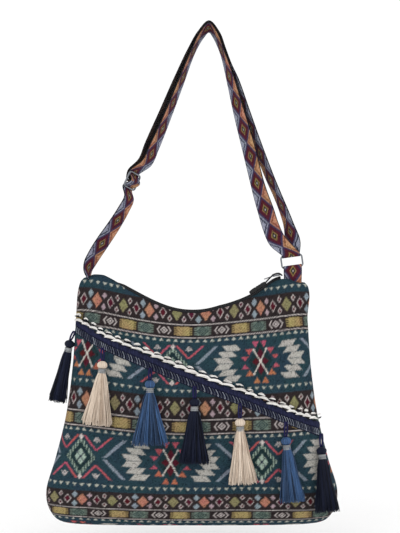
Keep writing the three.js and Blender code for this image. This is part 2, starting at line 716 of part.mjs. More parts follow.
const ringShape = roundedOutline(
  RING.innerWidth + 2 * RING.wire, RING.innerHeight + 2 * RING.wire, RING.corner, new THREE.Shape(),
);
ringShape.holes.push(roundedOutline(RING.innerWidth, RING.innerHeight, RING.innerCorner, new THREE.Path()));
const strapRing = addPiece('strap_ring', plate(ringShape, RING.wire, WIRE_BEVEL), 'chrome');
strapRing.position.copy(ringCentre);
strapRing.rotation.set(Math.PI / 2, -ringLean, 0, 'YXZ');

const sliderShape = roundedOutline(
  SLIDER.innerWidth + 2 * SLIDER.wire, 2 * SLIDER.pitch + SLIDER.wire, SLIDER.corner, new THREE.Shape(),
);
for (const side of [-1, 1]) {
  const slot = new THREE.Path();
  const halfWidth = SLIDER.innerWidth / 2;
  const middle = (side * SLIDER.pitch) / 2;
  const halfHeight = (SLIDER.pitch - SLIDER.wire) / 2;
  slot.moveTo(-halfWidth, middle - halfHeight);
  slot.lineTo(halfWidth, middle - halfHeight);
  slot.lineTo(halfWidth, middle + halfHeight);
  slot.lineTo(-halfWidth, middle + halfHeight);
  sliderShape.holes.push(slot);
}
const strapSlider = addPiece('strap_slider', plate(sliderShape, SLIDER.wire, WIRE_BEVEL), 'chrome');
strapSlider.applyMatrix4(
  new THREE.Matrix4().makeBasis(sliderFrame.wide, sliderUp, sliderFrame.wide.clone().cross(sliderUp)),
);
strapSlider.position.copy(sliderMiddle);

// Tab: webbing folded over the ring's lower bar, with its two feet on the bag's corner
const tabX = RING.x - ringUp.x * barReach;
const footZ = lipZ(tabX - BAG_X) + TAB_FOOT_LIFT;

function tabFeet(side) {
  return TAB_FEET.map((row) => (
    { point: new THREE.Vector3(tabX, side * row.halfGap, footZ + row.lift), wide: ringBar }
  ));
}

const tabStations = [...tabFeet(-1), ...ringTurn(-1, ringBar), ...tabFeet(1).reverse()];
addPiece('ring_tab', ribbon(tabStations, TAB_SUBSTEPS), 'webbing');

export default bag;
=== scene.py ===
"""The looks of a jacquard shoulder bag with a zip, a diagonal trim, tassels and a webbing strap.

Sizes are in millimetres where no other unit is named. Fields that end in steps, sides, faces, rings or
samples are counts: points or rings along, faces round, faces across, rings, and places measured. A list
of attributes leaves out those, and the fields whose names say what they are.
"""
import logging
import math
from dataclasses import dataclass, field, replace
from enum import Enum

import bmesh
import bpy
import numpy as np
from bpy.types import Material, Mesh, Node, NodeTree, Object
from mathutils import Matrix, Vector


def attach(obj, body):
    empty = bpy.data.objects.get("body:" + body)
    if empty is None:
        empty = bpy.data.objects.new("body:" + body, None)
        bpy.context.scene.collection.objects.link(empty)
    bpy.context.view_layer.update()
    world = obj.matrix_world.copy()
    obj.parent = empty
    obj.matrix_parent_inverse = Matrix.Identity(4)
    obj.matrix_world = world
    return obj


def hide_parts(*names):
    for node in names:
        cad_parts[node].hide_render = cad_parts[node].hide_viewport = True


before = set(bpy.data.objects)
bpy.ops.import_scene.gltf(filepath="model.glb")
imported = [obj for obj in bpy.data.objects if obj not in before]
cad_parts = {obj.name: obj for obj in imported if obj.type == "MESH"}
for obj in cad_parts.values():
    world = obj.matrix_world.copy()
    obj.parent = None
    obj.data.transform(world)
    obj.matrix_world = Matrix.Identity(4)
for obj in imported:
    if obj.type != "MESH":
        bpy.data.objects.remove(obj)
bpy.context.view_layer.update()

Array = np.ndarray
Pair = tuple[float, float]
Point = tuple[float, float, float]

LOG = logging.getLogger("tassel_bag")
BODY = "root"
MM = 0.001
# Layers that the meshes carry for their materials
YARN_LAYER = "yarn"
# The tint of a strand sets how much painted highlight against painted shade it shows
TINT_LAYER = "tint"
SURFACE_UV = "surface"
# Scale at which a wave texture has one band in each unit
WAVE_PERIOD = math.pi / 10
# Colour sockets of a Mix node
MIX_A = 6
MIX_B = 7
MIX_RESULT = 2
# The sRGB curve: straight up to its knee, a power above it
SRGB_KNEE = 0.04045
SRGB_SLOPE = 12.92
SRGB_LIFT = 0.055
SRGB_POWER = 2.4
# Vertices nearer to each other than this are one, in millimetres
WELD_MM = 0.01
# Shortest length that a direction is taken from, and the step along a curve for its direction
SHORTEST = 1e-9
CURVE_NUDGE = 0.0001
# Faces round a fine yarn
YARN_SIDES = 5


# Colour and shader nodes


def linear(hex_colour: str) -> tuple[float, float, float, float]:
    """Turns an sRGB hex colour to linear light.

    Args:
        hex_colour: Six hex digits, with or without a leading mark.

    Returns:
        Red, green, blue and full opacity, in linear light.
    """
    digits = hex_colour.lstrip("#")
    shares = [int(digits[place:place + 2], 16) / 255 for place in (0, 2, 4)]
    red, green, blue = (
        s / SRGB_SLOPE if s <= SRGB_KNEE else ((s + SRGB_LIFT) / (1 + SRGB_LIFT)) ** SRGB_POWER
        for s in shares
    )
    return (red, green, blue, 1.0)


def add_node(tree: NodeTree, kind: str, settings: dict, links: dict) -> Node:
    """Adds a shader node, sets its fields and sockets, and links its inputs.

    Args:
        tree: The material's node tree.
        kind: The node's type name.
        settings: Field names or socket names and numbers, with their values.
        links: Socket names or numbers of this node, with the outputs that feed them.

    Returns:
        The new node.
    """
    node = tree.nodes.new(kind)
    for name, value in settings.items():
        if isinstance(name, str) and hasattr(node, name):
            setattr(node, name, value)
        else:
            node.inputs[name].default_value = value
    for name, output in links.items():
        tree.links.new(output, node.inputs[name])
    return node


@dataclass(frozen=True)
class Finish:
    """A named surface finish.

    Attributes:
        name: The material's name: what it is made of and how.
        roughness: How matt the surface is.
        gloss: Level of its mirror-like reflection; loose yarn has less of it than a smooth skin.
    """

    name: str
    roughness: float = 0.9
    gloss: float = 0.5

    def build(self) -> Material:
        """Makes the Blender material.

        Returns:
            The material, with its node tree complete.
        """
        material = bpy.data.materials.new(self.name)
        material.use_nodes = True
        shader = material.node_tree.nodes["Principled BSDF"]
        shader.inputs["Roughness"].default_value = self.roughness
        shader.inputs["Specular IOR Level"].default_value = self.gloss
        self.dress(material.node_tree, shader)
        return material

    def dress(self, tree: NodeTree, shader: Node) -> None:
        """Adds the finish's own nodes.

        Args:
            tree: The material's node tree.
            shader: Its main shader.
        """
        raise NotImplementedError


@dataclass(frozen=True)
class ChartedWeave(Finish):
    """Jacquard cloth or webbing: the yarn colours lie in the mesh, the threads are relief.

    The eye sees a matt, slightly mottled cloth with fine ribs along both threads.

    Attributes:
        thread_mm: Spacing of the threads, drawn coarser than the real 0.6 mm so that it shows.
        slub_mm: Length of the thick and thin places in the yarn.
        mottle: How far the slubs lighten and darken the colour.
        relief: Strength of the thread relief.
        patch_mm: Size of the patches where the dye took differently.
        drift: How far the hue turns from patch to patch, as a share of the whole turn.
        slub_stretch, slub_relief: How much closer the slubs lie along the warp, and their height.
        thread_relief: Height of the threads as a share of their spacing.
    """

    thread_mm: float = 1.3
    slub_mm: float = 2.6
    mottle: float = 0.34
    relief: float = 0.5
    patch_mm: float = 28.0
    drift: float = 0.022
    slub_stretch: float = 2.4
    slub_relief: float = 0.8
    thread_relief: float = 0.25

    def dress(self, tree: NodeTree, shader: Node) -> None:
        """Mixes the yarn colour with slubs and raises the threads.

        Args:
            tree: The material's node tree.
            shader: Its main shader.
        """
        place = add_node(tree, "ShaderNodeUVMap", {"uv_map": SURFACE_UV}, {}).outputs["UV"]
        yarn = add_node(tree, "ShaderNodeVertexColor", {"layer_name": YARN_LAYER}, {}).outputs["Color"]
        stretch = add_node(tree, "ShaderNodeMapping", {"Scale": (1.0, self.slub_stretch, 1.0)},
                           {"Vector": place})
        slub_settings = {"Scale": 1 / (self.slub_mm * MM), "Detail": 3.0, "Roughness": 0.7}
        slub = add_node(tree, "ShaderNodeTexNoise", slub_settings, {"Vector": stretch.outputs["Vector"]})
        shade_settings = {"From Min": 0.25, "From Max": 0.75,
                          "To Min": 1 - self.mottle, "To Max": 1 + self.mottle}
        shade = add_node(tree, "ShaderNodeMapRange", shade_settings, {"Value": slub.outputs["Fac"]})
        tone = add_node(tree, "ShaderNodeVectorMath", {"operation": "SCALE"},
                        {"Vector": yarn, "Scale": shade.outputs["Result"]})
        patch_settings = {"Scale": 1 / (self.patch_mm * MM), "Detail": 2.0}
        patch = add_node(tree, "ShaderNodeTexNoise", patch_settings, {"Vector": place})
        turn_settings = {"From Min": 0.3, "From Max": 0.7,
                         "To Min": 0.5 - self.drift, "To Max": 0.5 + self.drift}
        turn = add_node(tree, "ShaderNodeMapRange", turn_settings, {"Value": patch.outputs["Fac"]})
        dyed = add_node(tree, "ShaderNodeHueSaturation", {},
                        {"Hue": turn.outputs["Result"], "Color": tone.outputs["Vector"]})
        tree.links.new(dyed.outputs["Color"], shader.inputs["Base Color"])
        heights = []
        for direction in ("X", "Y"):
            wave_settings = {"bands_direction": direction, "Scale": WAVE_PERIOD / (self.thread_mm * MM),
                             "Distortion": 0.6, "Detail Scale": 2.0}
            wave = add_node(tree, "ShaderNodeTexWave", wave_settings, {"Vector": place})
            heights.append(wave.outputs["Fac"])
        cross = add_node(tree, "ShaderNodeMath", {"operation": "MAXIMUM"}, {0: heights[0], 1: heights[1]})
        cloth = add_node(tree, "ShaderNodeMath", {"operation": "MULTIPLY_ADD", 1: self.slub_relief},
                         {0: slub.outputs["Fac"], 2: cross.outputs["Value"]})
        bump_settings = {"Strength": self.relief, "Distance": self.thread_relief * self.thread_mm * MM}
        bump = add_node(tree, "ShaderNodeBump", bump_settings, {"Height": cloth.outputs["Value"]})
        tree.links.new(bump.outputs["Normal"], shader.inputs["Normal"])


@dataclass(frozen=True)
class SpunYarn(Finish):
    """Twisted or loose thread: strands of light and dark tints with fine fibre streaks, the dark tint
    painted shade and the light tint painted highlight, mixed at random per strand.

    Attributes:
        shade: Colour of the strands that lie deep.
        light: Colour of the strands that catch the light.
        fibre_mm: Length of the streaks along the thread.
        streak: Weight of the streaks against the strand's own tint.
    """

    shade: str = "#000000"
    light: str = "#FFFFFF"
    fibre_mm: float = 1.6
    streak: float = 0.5
    relief_mm: float = 0.2

    def dress(self, tree: NodeTree, shader: Node) -> None:
        """Tints each strand and streaks it with fibres, between painted shade and painted highlight.

        Args:
            tree: The material's node tree.
            shader: Its main shader.
        """
        place = add_node(tree, "ShaderNodeTexCoord", {}, {}).outputs["Object"]
        tint = add_node(tree, "ShaderNodeAttribute", {"attribute_name": TINT_LAYER}, {}).outputs["Fac"]
        streak_settings = {"Scale": 1 / (self.fibre_mm * MM), "Detail": 2.0, "Roughness": 0.6}
        streak = add_node(tree, "ShaderNodeTexNoise", streak_settings, {"Vector": place})
        share = add_node(tree, "ShaderNodeMath", {"operation": "MULTIPLY_ADD", 1: self.streak},
                         {0: streak.outputs["Fac"], 2: tint})
        settled = add_node(tree, "ShaderNodeMapRange", {"From Min": 0.2, "From Max": 1.3},
                           {"Value": share.outputs["Value"]})
        # Painted shade and highlight: the strand's tint and the fibre streaks mix the shaded colour with
        # the lit one
        mix_settings = {"data_type": "RGBA", MIX_A: linear(self.shade), MIX_B: linear(self.light)}
        mix = add_node(tree, "ShaderNodeMix", mix_settings, {0: settled.outputs["Result"]})
        tree.links.new(mix.outputs[MIX_RESULT], shader.inputs["Base Color"])
        bump_settings = {"Strength": 0.4, "Distance": self.relief_mm * MM}
        bump = add_node(tree, "ShaderNodeBump", bump_settings, {"Height": streak.outputs["Fac"]})
        tree.links.new(bump.outputs["Normal"], shader.inputs["Normal"])


@dataclass(frozen=True)
class RibbedTape(Finish):
    """Narrow woven tape: matt crosswise ribs, with painted highlight on top of them and painted shade
    between them.

    Attributes:
        shade: Painted shade colour between the ribs.
        light: Painted highlight colour on the ribs.
        rib_mm: Spacing of the ribs along the tape, coarser than the real ones so that they show.
    """

    shade: str = "#000000"
    light: str = "#FFFFFF"
    rib_mm: float = 1.6
    relief_mm: float = 0.3

    def dress(self, tree: NodeTree, shader: Node) -> None:
        """Draws the ribs with painted highlight on top and painted shade between, and raises them.

        Args:
            tree: The material's node tree.
            shader: Its main shader.
        """
        place = add_node(tree, "ShaderNodeUVMap", {"uv_map": SURFACE_UV}, {}).outputs["UV"]
        rib_settings = {"bands_direction": "X", "Scale": WAVE_PERIOD / (self.rib_mm * MM),
                        "Distortion": 2.5, "Detail": 2.0, "Detail Scale": 1.5}
        rib = add_node(tree, "ShaderNodeTexWave", rib_settings, {"Vector": place}).outputs["Fac"]
        slub_settings = {"Scale": 1 / (2 * self.rib_mm * MM), "Detail": 3.0}
        slub = add_node(tree, "ShaderNodeTexNoise", slub_settings, {"Vector": place}).outputs["Fac"]
        share = add_node(tree, "ShaderNodeMath", {"operation": "MULTIPLY"}, {0: rib, 1: slub})
        spread = add_node(tree, "ShaderNodeMapRange", {"From Min": 0.05, "From Max": 0.6},
                          {"Value": share.outputs["Value"]})
        # Painted shade between the ribs and painted highlight on them, broken up by slubs
        mix_settings = {"data_type": "RGBA", MIX_A: linear(self.shade), MIX_B: linear(self.light)}
        mix = add_node(tree, "ShaderNodeMix", mix_settings, {0: spread.outputs["Result"]})
        tree.links.new(mix.outputs[MIX_RESULT], shader.inputs["Base Color"])
        bump_settings = {"Strength": 0.6, "Distance": self.relief_mm * MM}
        bump = add_node(tree, "ShaderNodeBump", bump_settings, {"Height": rib})
        tree.links.new(bump.outputs["Normal"], shader.inputs["Normal"])


@dataclass(frozen=True)
class PlatedMetal(Finish):
    """Nickel-plated steel or die casting: bright, with soft wear in its gloss.

    Attributes:
        wear_mm: Size of the duller patches.
        wear: Roughness of the brightest and the dullest places, as shares of the finish's own.
    """

    colour: str = "#C9CCD0"
    wear_mm: float = 3.0
    wear: Pair = (0.6, 1.5)

    def dress(self, tree: NodeTree, shader: Node) -> None:
        """Makes the metal and varies its gloss.

        Args:
            tree: The material's node tree.
            shader: Its main shader.
        """
        shader.inputs["Metallic"].default_value = 1.0
        shader.inputs["Base Color"].default_value = linear(self.colour)
        place = add_node(tree, "ShaderNodeTexCoord", {}, {}).outputs["Object"]
        wear_settings = {"Scale": 1 / (self.wear_mm * MM), "Detail": 4.0}
        wear = add_node(tree, "ShaderNodeTexNoise", wear_settings, {"Vector": place})
        bright, dull = self.wear
        gloss_settings = {"To Min": bright * self.roughness, "To Max": dull * self.roughness}
        gloss = add_node(tree, "ShaderNodeMapRange", gloss_settings, {"Value": wear.outputs["Fac"]})
        tree.links.new(gloss.outputs["Result"], shader.inputs["Roughness"])


@dataclass(frozen=True)
class MouldedPlastic(Finish):
    """Moulded nylon: dark, half matt, with a fine grained skin.

    Attributes:
        worn: Colour where it is rubbed.
    """

    colour: str = "#0B0B0C"
    worn: str = "#161617"
    grain_mm: float = 0.7
    relief_mm: float = 0.1

    def dress(self, tree: NodeTree, shader: Node) -> None:
        """Adds the grain to the colour and the relief.

        Args:
            tree: The material's node tree.
            shader: Its main shader.
        """
        place = add_node(tree, "ShaderNodeTexCoord", {}, {}).outputs["Object"]
        grain_settings = {"Scale": 1 / (self.grain_mm * MM), "Detail": 3.0}
        grain = add_node(tree, "ShaderNodeTexNoise", grain_settings, {"Vector": place}).outputs["Fac"]
        mix_settings = {"data_type": "RGBA", MIX_A: linear(self.colour), MIX_B: linear(self.worn)}
        mix = add_node(tree, "ShaderNodeMix", mix_settings, {0: grain})
        tree.links.new(mix.outputs[MIX_RESULT], shader.inputs["Base Color"])
        bump_settings = {"Strength": 0.25, "Distance": self.relief_mm * MM}
        bump = add_node(tree, "ShaderNodeBump", bump_settings, {"Height": grain})
        tree.links.new(bump.outputs["Normal"], shader.inputs["Normal"])


JACQUARD_CLOTH = ChartedWeave("jacquard_woven_cotton", roughness=0.92, gloss=0.1)
JACQUARD_WEBBING = ChartedWeave("jacquard_woven_webbing", roughness=0.85, gloss=0.15, thread_mm=1.2)
ZIP_TAPE = RibbedTape("black_woven_zip_tape", gloss=0.2, shade="#0E0F11", light="#2A2B2F", rib_mm=1.2)
ZIP_COIL = MouldedPlastic("black_moulded_nylon_coil", roughness=0.45, gloss=0.3)
# Its colour is darker than bare plating: a painted dark reflection, as the white studio gives the metal
# nothing dark to mirror
ZIP_METAL = PlatedMetal("plated_die_casting", roughness=0.24, colour="#8D8F93")
PULL_CORD = SpunYarn("black_braided_polyester_cord", roughness=0.7, shade="#0C0C0D", light="#2B2B2E")
PULL_GRIP = MouldedPlastic("black_moulded_cord_grip", roughness=0.5, gloss=0.3)
WHITE_CORD = SpunYarn("puffed_white_cotton", gloss=0.2, shade="#B5AFA9", light="#FBF9F6")
# Black yarn for the cord's picks, which are partly painted shadow, and for the painted shade under its
# puffs
BLACK_PICK_AND_SHADE = SpunYarn("black_cotton_pick_and_painted_shade", gloss=0.1, shade="#0B0B0E", light="#24242A")
NAVY_RIBBON = RibbedTape("navy_ribbed_ribbon", roughness=0.8, gloss=0.1,
                         shade="#0D0F1F", light="#34385A", rib_mm=2.0)
EDGING_LOOPS = SpunYarn("grey_looped_edging_yarn", roughness=0.85, gloss=0.2,
                        shade="#2A2F40", light="#9CA2AD")
EDGING_BASE = RibbedTape("dark_edging_tape", gloss=0.1, shade="#10121E", light="#2A2E48", rib_mm=2.4)
NAVY_THREAD = SpunYarn("navy_viscose_tassel_thread", roughness=0.6, gloss=0.15,
                       shade="#03050C", light="#1C2238")
CREAM_THREAD = SpunYarn("cream_viscose_tassel_thread", roughness=0.6, gloss=0.2,
                        shade="#AE9986", light="#F2E3D2")
BLUE_THREAD = SpunYarn("blue_viscose_tassel_thread", roughness=0.5, gloss=0.3,
                       shade="#040913", light="#476B9B")
LUREX_THREAD = SpunYarn("grey_lurex_band_thread", roughness=0.4, shade="#3F4246", light="#AEB1B3",
                        fibre_mm=0.8)
LOOP_THREAD = SpunYarn("navy_loop_thread", roughness=0.8, gloss=0.1, shade="#12112A", light="#2C2B58")
# Its colour is darker than bare nickel plating: a painted dark reflection, as the white studio gives the
# wire nothing dark to mirror
STRAP_METAL = PlatedMetal("nickel_plated_steel_wire", roughness=0.2, colour="#777A80")

MATERIALS: dict[Finish, Material] = {}


def material_for(finish: Finish) -> Material:
    """Gives the material of a finish, built once.

    Args:
        finish: The finish wanted.

    Returns:
        Its material.
    """
    if finish not in MATERIALS:
        MATERIALS[finish] = finish.build()
    return MATERIALS[finish]


# Curves and meshes, in millimetres until a mesh is filled


class Spacing(Enum):
    """How a curve through points sets its slopes."""

    CENTRIPETAL = "by the root of the distances"
    EVEN = "by the neighbours alone"


@dataclass(frozen=True)
class SmoothCurve:
    """A Catmull-Rom curve through rows of numbers, as the solids use it.

    Attributes:
        rows: The points or other values that it passes through.
        spacing: How its slopes are set.
    """

    rows: Array
    spacing: Spacing = Spacing.CENTRIPETAL

    def at(self, shares: Array) -> Array:
        """Gives the values at shares of the curve, with one equal part of the share for each span.

        Args:
            shares: Places between 0 and 1.

        Returns:
            One row of values for each share.
        """
        rows = np.asarray(self.rows, float)
        spans = len(rows) - 1
        padded = np.vstack([2 * rows[0] - rows[1], rows, 2 * rows[-1] - rows[-2]])
        place = np.clip(np.asarray(shares, float), 0, 1) * spans
        span = np.minimum(place.astype(int), spans - 1)
        weight = (place - span)[..., None]
        before, start, end, after = (padded[span + step] for step in range(4))
        if self.spacing is Spacing.EVEN:
            leave = (end - before) / 2
            arrive = (after - start) / 2
        else:
            first, middle, final = (
                np.sqrt(np.linalg.norm(b - a, axis=-1, keepdims=True))
                for a, b in ((before, start), (start, end), (end, after))
            )
            leave = ((start - before) / first - (end - before) / (first + middle)) * middle + end - start
            arrive = ((after - end) / final - (after - start) / (middle + final)) * middle + end - start
        square = 3 * (end - start) - 2 * leave - arrive
        cube = 2 * (start - end) + leave + arrive
        return start + weight * (leave + weight * (square + weight * cube))

    def tangent(self, shares: Array) -> Array:
        """Gives the unit direction of the curve at shares of it."""
        shares = np.asarray(shares)
        return unit(self.at(shares + CURVE_NUDGE) - self.at(shares - CURVE_NUDGE))


def unit(vectors: Array) -> Array:
    """Scales vectors to length one."""
    return vectors / np.maximum(np.linalg.norm(vectors, axis=-1, keepdims=True), SHORTEST)


def smooth_step(value: Array, low: float, high: float) -> Array:
    """Rises smoothly from 0 at the low end to 1 at the high end."""
    share = np.clip((np.asarray(value, float) - low) / (high - low), 0, 1)
    return share * share * (3 - 2 * share)


def new_piece(name: str, mesh: Mesh) -> Object:
    """Puts a mesh into the scene as a piece at the origin.

    Args:
        name: The piece's name.
        mesh: Its mesh.

    Returns:
        The piece.
    """
    piece = bpy.data.objects.new(name, mesh)
    bpy.context.scene.collection.objects.link(piece)
    return piece


@dataclass
class Sheet:
    """A grid of vertices that is laid over a surface.

    Attributes:
        name: The piece's name.
        columns: Faces across.
        rows: Faces along.
        order: Each vertex's place in the rows of points that it is laid to.
    """

    name: str
    columns: int
    rows: int
    mesh: Mesh = field(init=False)
    order: Array = field(init=False)

    def __post_init__(self) -> None:
        """Makes the flat grid and finds each vertex's column and row."""
        form = bmesh.new()
        half = 0.5
        bmesh.ops.create_grid(form, x_segments=self.columns, y_segments=self.rows, size=half)
        self.mesh = bpy.data.meshes.new(self.name)
        form.to_mesh(self.mesh)
        form.free()
        flat = np.empty(3 * len(self.mesh.vertices))
        self.mesh.vertices.foreach_get("co", flat)
        shares = flat.reshape(-1, 3)[:, :2] + half
        column = np.rint(shares[:, 0] * self.columns).astype(int)
        row = np.rint(shares[:, 1] * self.rows).astype(int)
        self.order = row * (self.columns + 1) + column

    def lay(self, points: Array) -> None:
        """Moves the vertices to their places.

        Args:
            points: Rows x columns x 3, in millimetres.
        """
        self.mesh.vertices.foreach_set("co", (points.reshape(-1, 3)[self.order] * MM).ravel())
        self.mesh.update()

    def map(self, places: Array) -> None:
        """Stores the flat place of each vertex as the sheet's map.

        Args:
            places: Rows x columns x 2, in millimetres along and across the threads.
        """
        corners = np.empty(len(self.mesh.loops), dtype=np.int32)
        self.mesh.loops.foreach_get("vertex_index", corners)
        flat = places.reshape(-1, 2)[self.order][corners] * MM
        self.mesh.uv_layers.new(name=SURFACE_UV).data.foreach_set("uv", flat.ravel())

    def colour(self, colours: Array) -> None:
        """Stores the yarn colour of each vertex.

        Args:
            colours: Rows x columns x 3, in linear light.
        """
        flat = np.ones((self.order.size, 4))
        flat[:, :3] = colours.reshape(-1, 3)[self.order]
        layer = self.mesh.color_attributes.new(name=YARN_LAYER, type="FLOAT_COLOR", domain="POINT")
        layer.data.foreach_set("color", flat.ravel())

    def finish(self, weld_mm: float = 0.0, close_ends: bool = False) -> Object:
        """Welds the edges that meet, closes open ends and makes the piece.

        Args:
            weld_mm: Vertices closer than this are joined; none at 0.
            close_ends: Whether the open ends of a wrapped sheet are filled.

        Returns:
            The finished piece.
        """
        form = bmesh.new()
        form.from_mesh(self.mesh)
        if weld_mm:
            bmesh.ops.remove_doubles(form, verts=form.verts[:], dist=weld_mm * MM)
        if close_ends:
            bmesh.ops.holes_fill(form, edges=form.edges[:], sides=0)
            bmesh.ops.recalc_face_normals(form, faces=form.faces[:])
        form.to_mesh(self.mesh)
        form.free()
        self.mesh.shade_smooth()
        return new_piece(self.name, self.mesh)


def tube_rings(paths: Array, radii: Array, sides: int) -> Array:
    """Gives the rings of points round middle lines, without a twist along them.

    Args:
        paths: Middle lines, lines x points x 3, in millimetres.
        radii: Lines x points, in millimetres.
        sides: Points in a ring.

    Returns:
        Lines x points x sides x 3, in millimetres.
    """
    along = unit(np.gradient(paths, axis=1))
    aside = np.empty_like(paths)
    aside[:, 0] = unit(np.cross(along[:, 0], np.eye(3)[np.abs(along[:, 0]).argmin(axis=1)]))
    for step in range(1, paths.shape[1]):
        carried = aside[:, step - 1]
        slip = (carried * along[:, step]).sum(axis=1, keepdims=True)
        aside[:, step] = unit(carried - slip * along[:, step])
    upright = np.cross(along, aside)
    angles = np.arange(sides) * 2 * math.pi / sides
    spokes = aside[:, :, None] * np.cos(angles)[:, None] + upright[:, :, None] * np.sin(angles)[:, None]
    return paths[:, :, None] + radii[:, :, None, None] * spokes


def threads(
    name: str, paths: Array, radii: float | Array, tints: Array, sides: int = YARN_SIDES
) -> Object:
    """Joins many round threads into one piece.

    Args:
        name: The piece's name.
        paths: Middle lines, threads x points x 3, in millimetres.
        radii: One radius, or one for each point along or each thread and point, in millimetres.
        tints: One tint from 0 to 1 for each thread.
        sides: Vertices round each thread.

    Returns:
        The piece, with the tint of each thread in its mesh.
    """
    count, steps, _ = paths.shape
    points = tube_rings(paths, np.broadcast_to(radii, (count, steps)), sides)
    number = np.arange(count * steps * sides).reshape(count, steps, sides)
    beside = np.roll(number, -1, axis=2)
    quads = np.stack([number[:, :-1], beside[:, :-1], beside[:, 1:], number[:, 1:]], axis=-1).reshape(-1, 4)
    faces = quads.tolist() + number[:, 0, ::-1].tolist() + number[:, -1].tolist()
    mesh = bpy.data.meshes.new(name)
    mesh.from_pydata((points.reshape(-1, 3) * MM).tolist(), [], faces)
    mesh.shade_smooth()
    layer = mesh.attributes.new(name=TINT_LAYER, type="FLOAT", domain="POINT")
    layer.data.foreach_set("value", np.repeat(tints, steps * sides))
    return new_piece(name, mesh)


def settle(piece: Object, finish: Finish, slot: str, *nodes: str) -> None:
    """Gives a piece its finish, puts it on the body and lets it take the place of solids.

    Args:
        piece: The finished piece.
        finish: What it is made of.
        slot: The record's material slot; not used.
        nodes: The CAD nodes that it replaces, if any.
    """
    piece.data.materials.append(material_for(finish))
    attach(piece, BODY)
    if nodes:
        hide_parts(*nodes)
    LOG.info("%s: %d faces", piece.name, len(piece.data.polygons))


# The bag's walls


class Section(Enum):
    """Columns of the body's section table."""

    HEIGHT = 0
    HALF_WIDTH = 1
    HALF_DEPTH = 2
    SQUARENESS = 3


# Height, half width, half depth and squareness of the body at each section
BODY_SECTIONS = np.array([
    (0, 166, 0, 3.2), (0, 174, 26, 3.2), (6, 189, 38, 3.2), (22, 200, 44, 3.1),
    (44, 203, 46, 3.0), (90, 190, 47, 2.9), (150, 175.5, 44, 2.8), (220, 166.5, 36, 2.7),
    (290, 162, 24, 2.8), (328, 159, 16, 3.6), (340, 155, 13.5, 4.5), (344, 151, 11, 5),
])


@dataclass(frozen=True)
class Fold:
    """A soft fold of the cloth: a long low ridge, or a hollow if its height is below zero.

    Attributes:
        x, z: Middle of the fold.
        lean: Its direction, in degrees from level.
        length, width: Its half length and half width.
    """

    x: float
    z: float
    lean: float
    length: float
    width: float
    height: float

    def relief(self, x: Array, z: Array) -> Array:
        """Gives how far the fold lifts the cloth.

        Args:
            x: Places along the bag.
            z: Their heights.

        Returns:
            The lift at each place.
        """
        angle = math.radians(self.lean)
        along = (x - self.x) * math.cos(angle) + (z - self.z) * math.sin(angle)
        aside = (z - self.z) * math.cos(angle) - (x - self.x) * math.sin(angle)
        return self.height * np.exp(-((along / self.length) ** 2) - (aside / self.width) ** 2)


FOLDS = (
    Fold(-150, -395, -52, 55, 9, -2.2), Fold(-128, -402, -44, 50, 8, 1.4),
    Fold(-112, -415, -38, 45, 9, -1.3), Fold(98, -396, 62, 50, 9, -2.0), Fold(76, -404, 52, 48, 9, 1.3),
    Fold(-24, -420, 0, 90, 16, 1.6), Fold(-24, -452, 0, 110, 18, -1.2), Fold(-196, -610, 70, 60, 10, -1.6),
    Fold(148, -620, 108, 60, 10, -1.8), Fold(-90, -668, 8, 80, 9, -1.2), Fold(60, -662, -6, 90, 10, -1.3),
    Fold(20, -600, 24, 90, 20, 1.2),
)


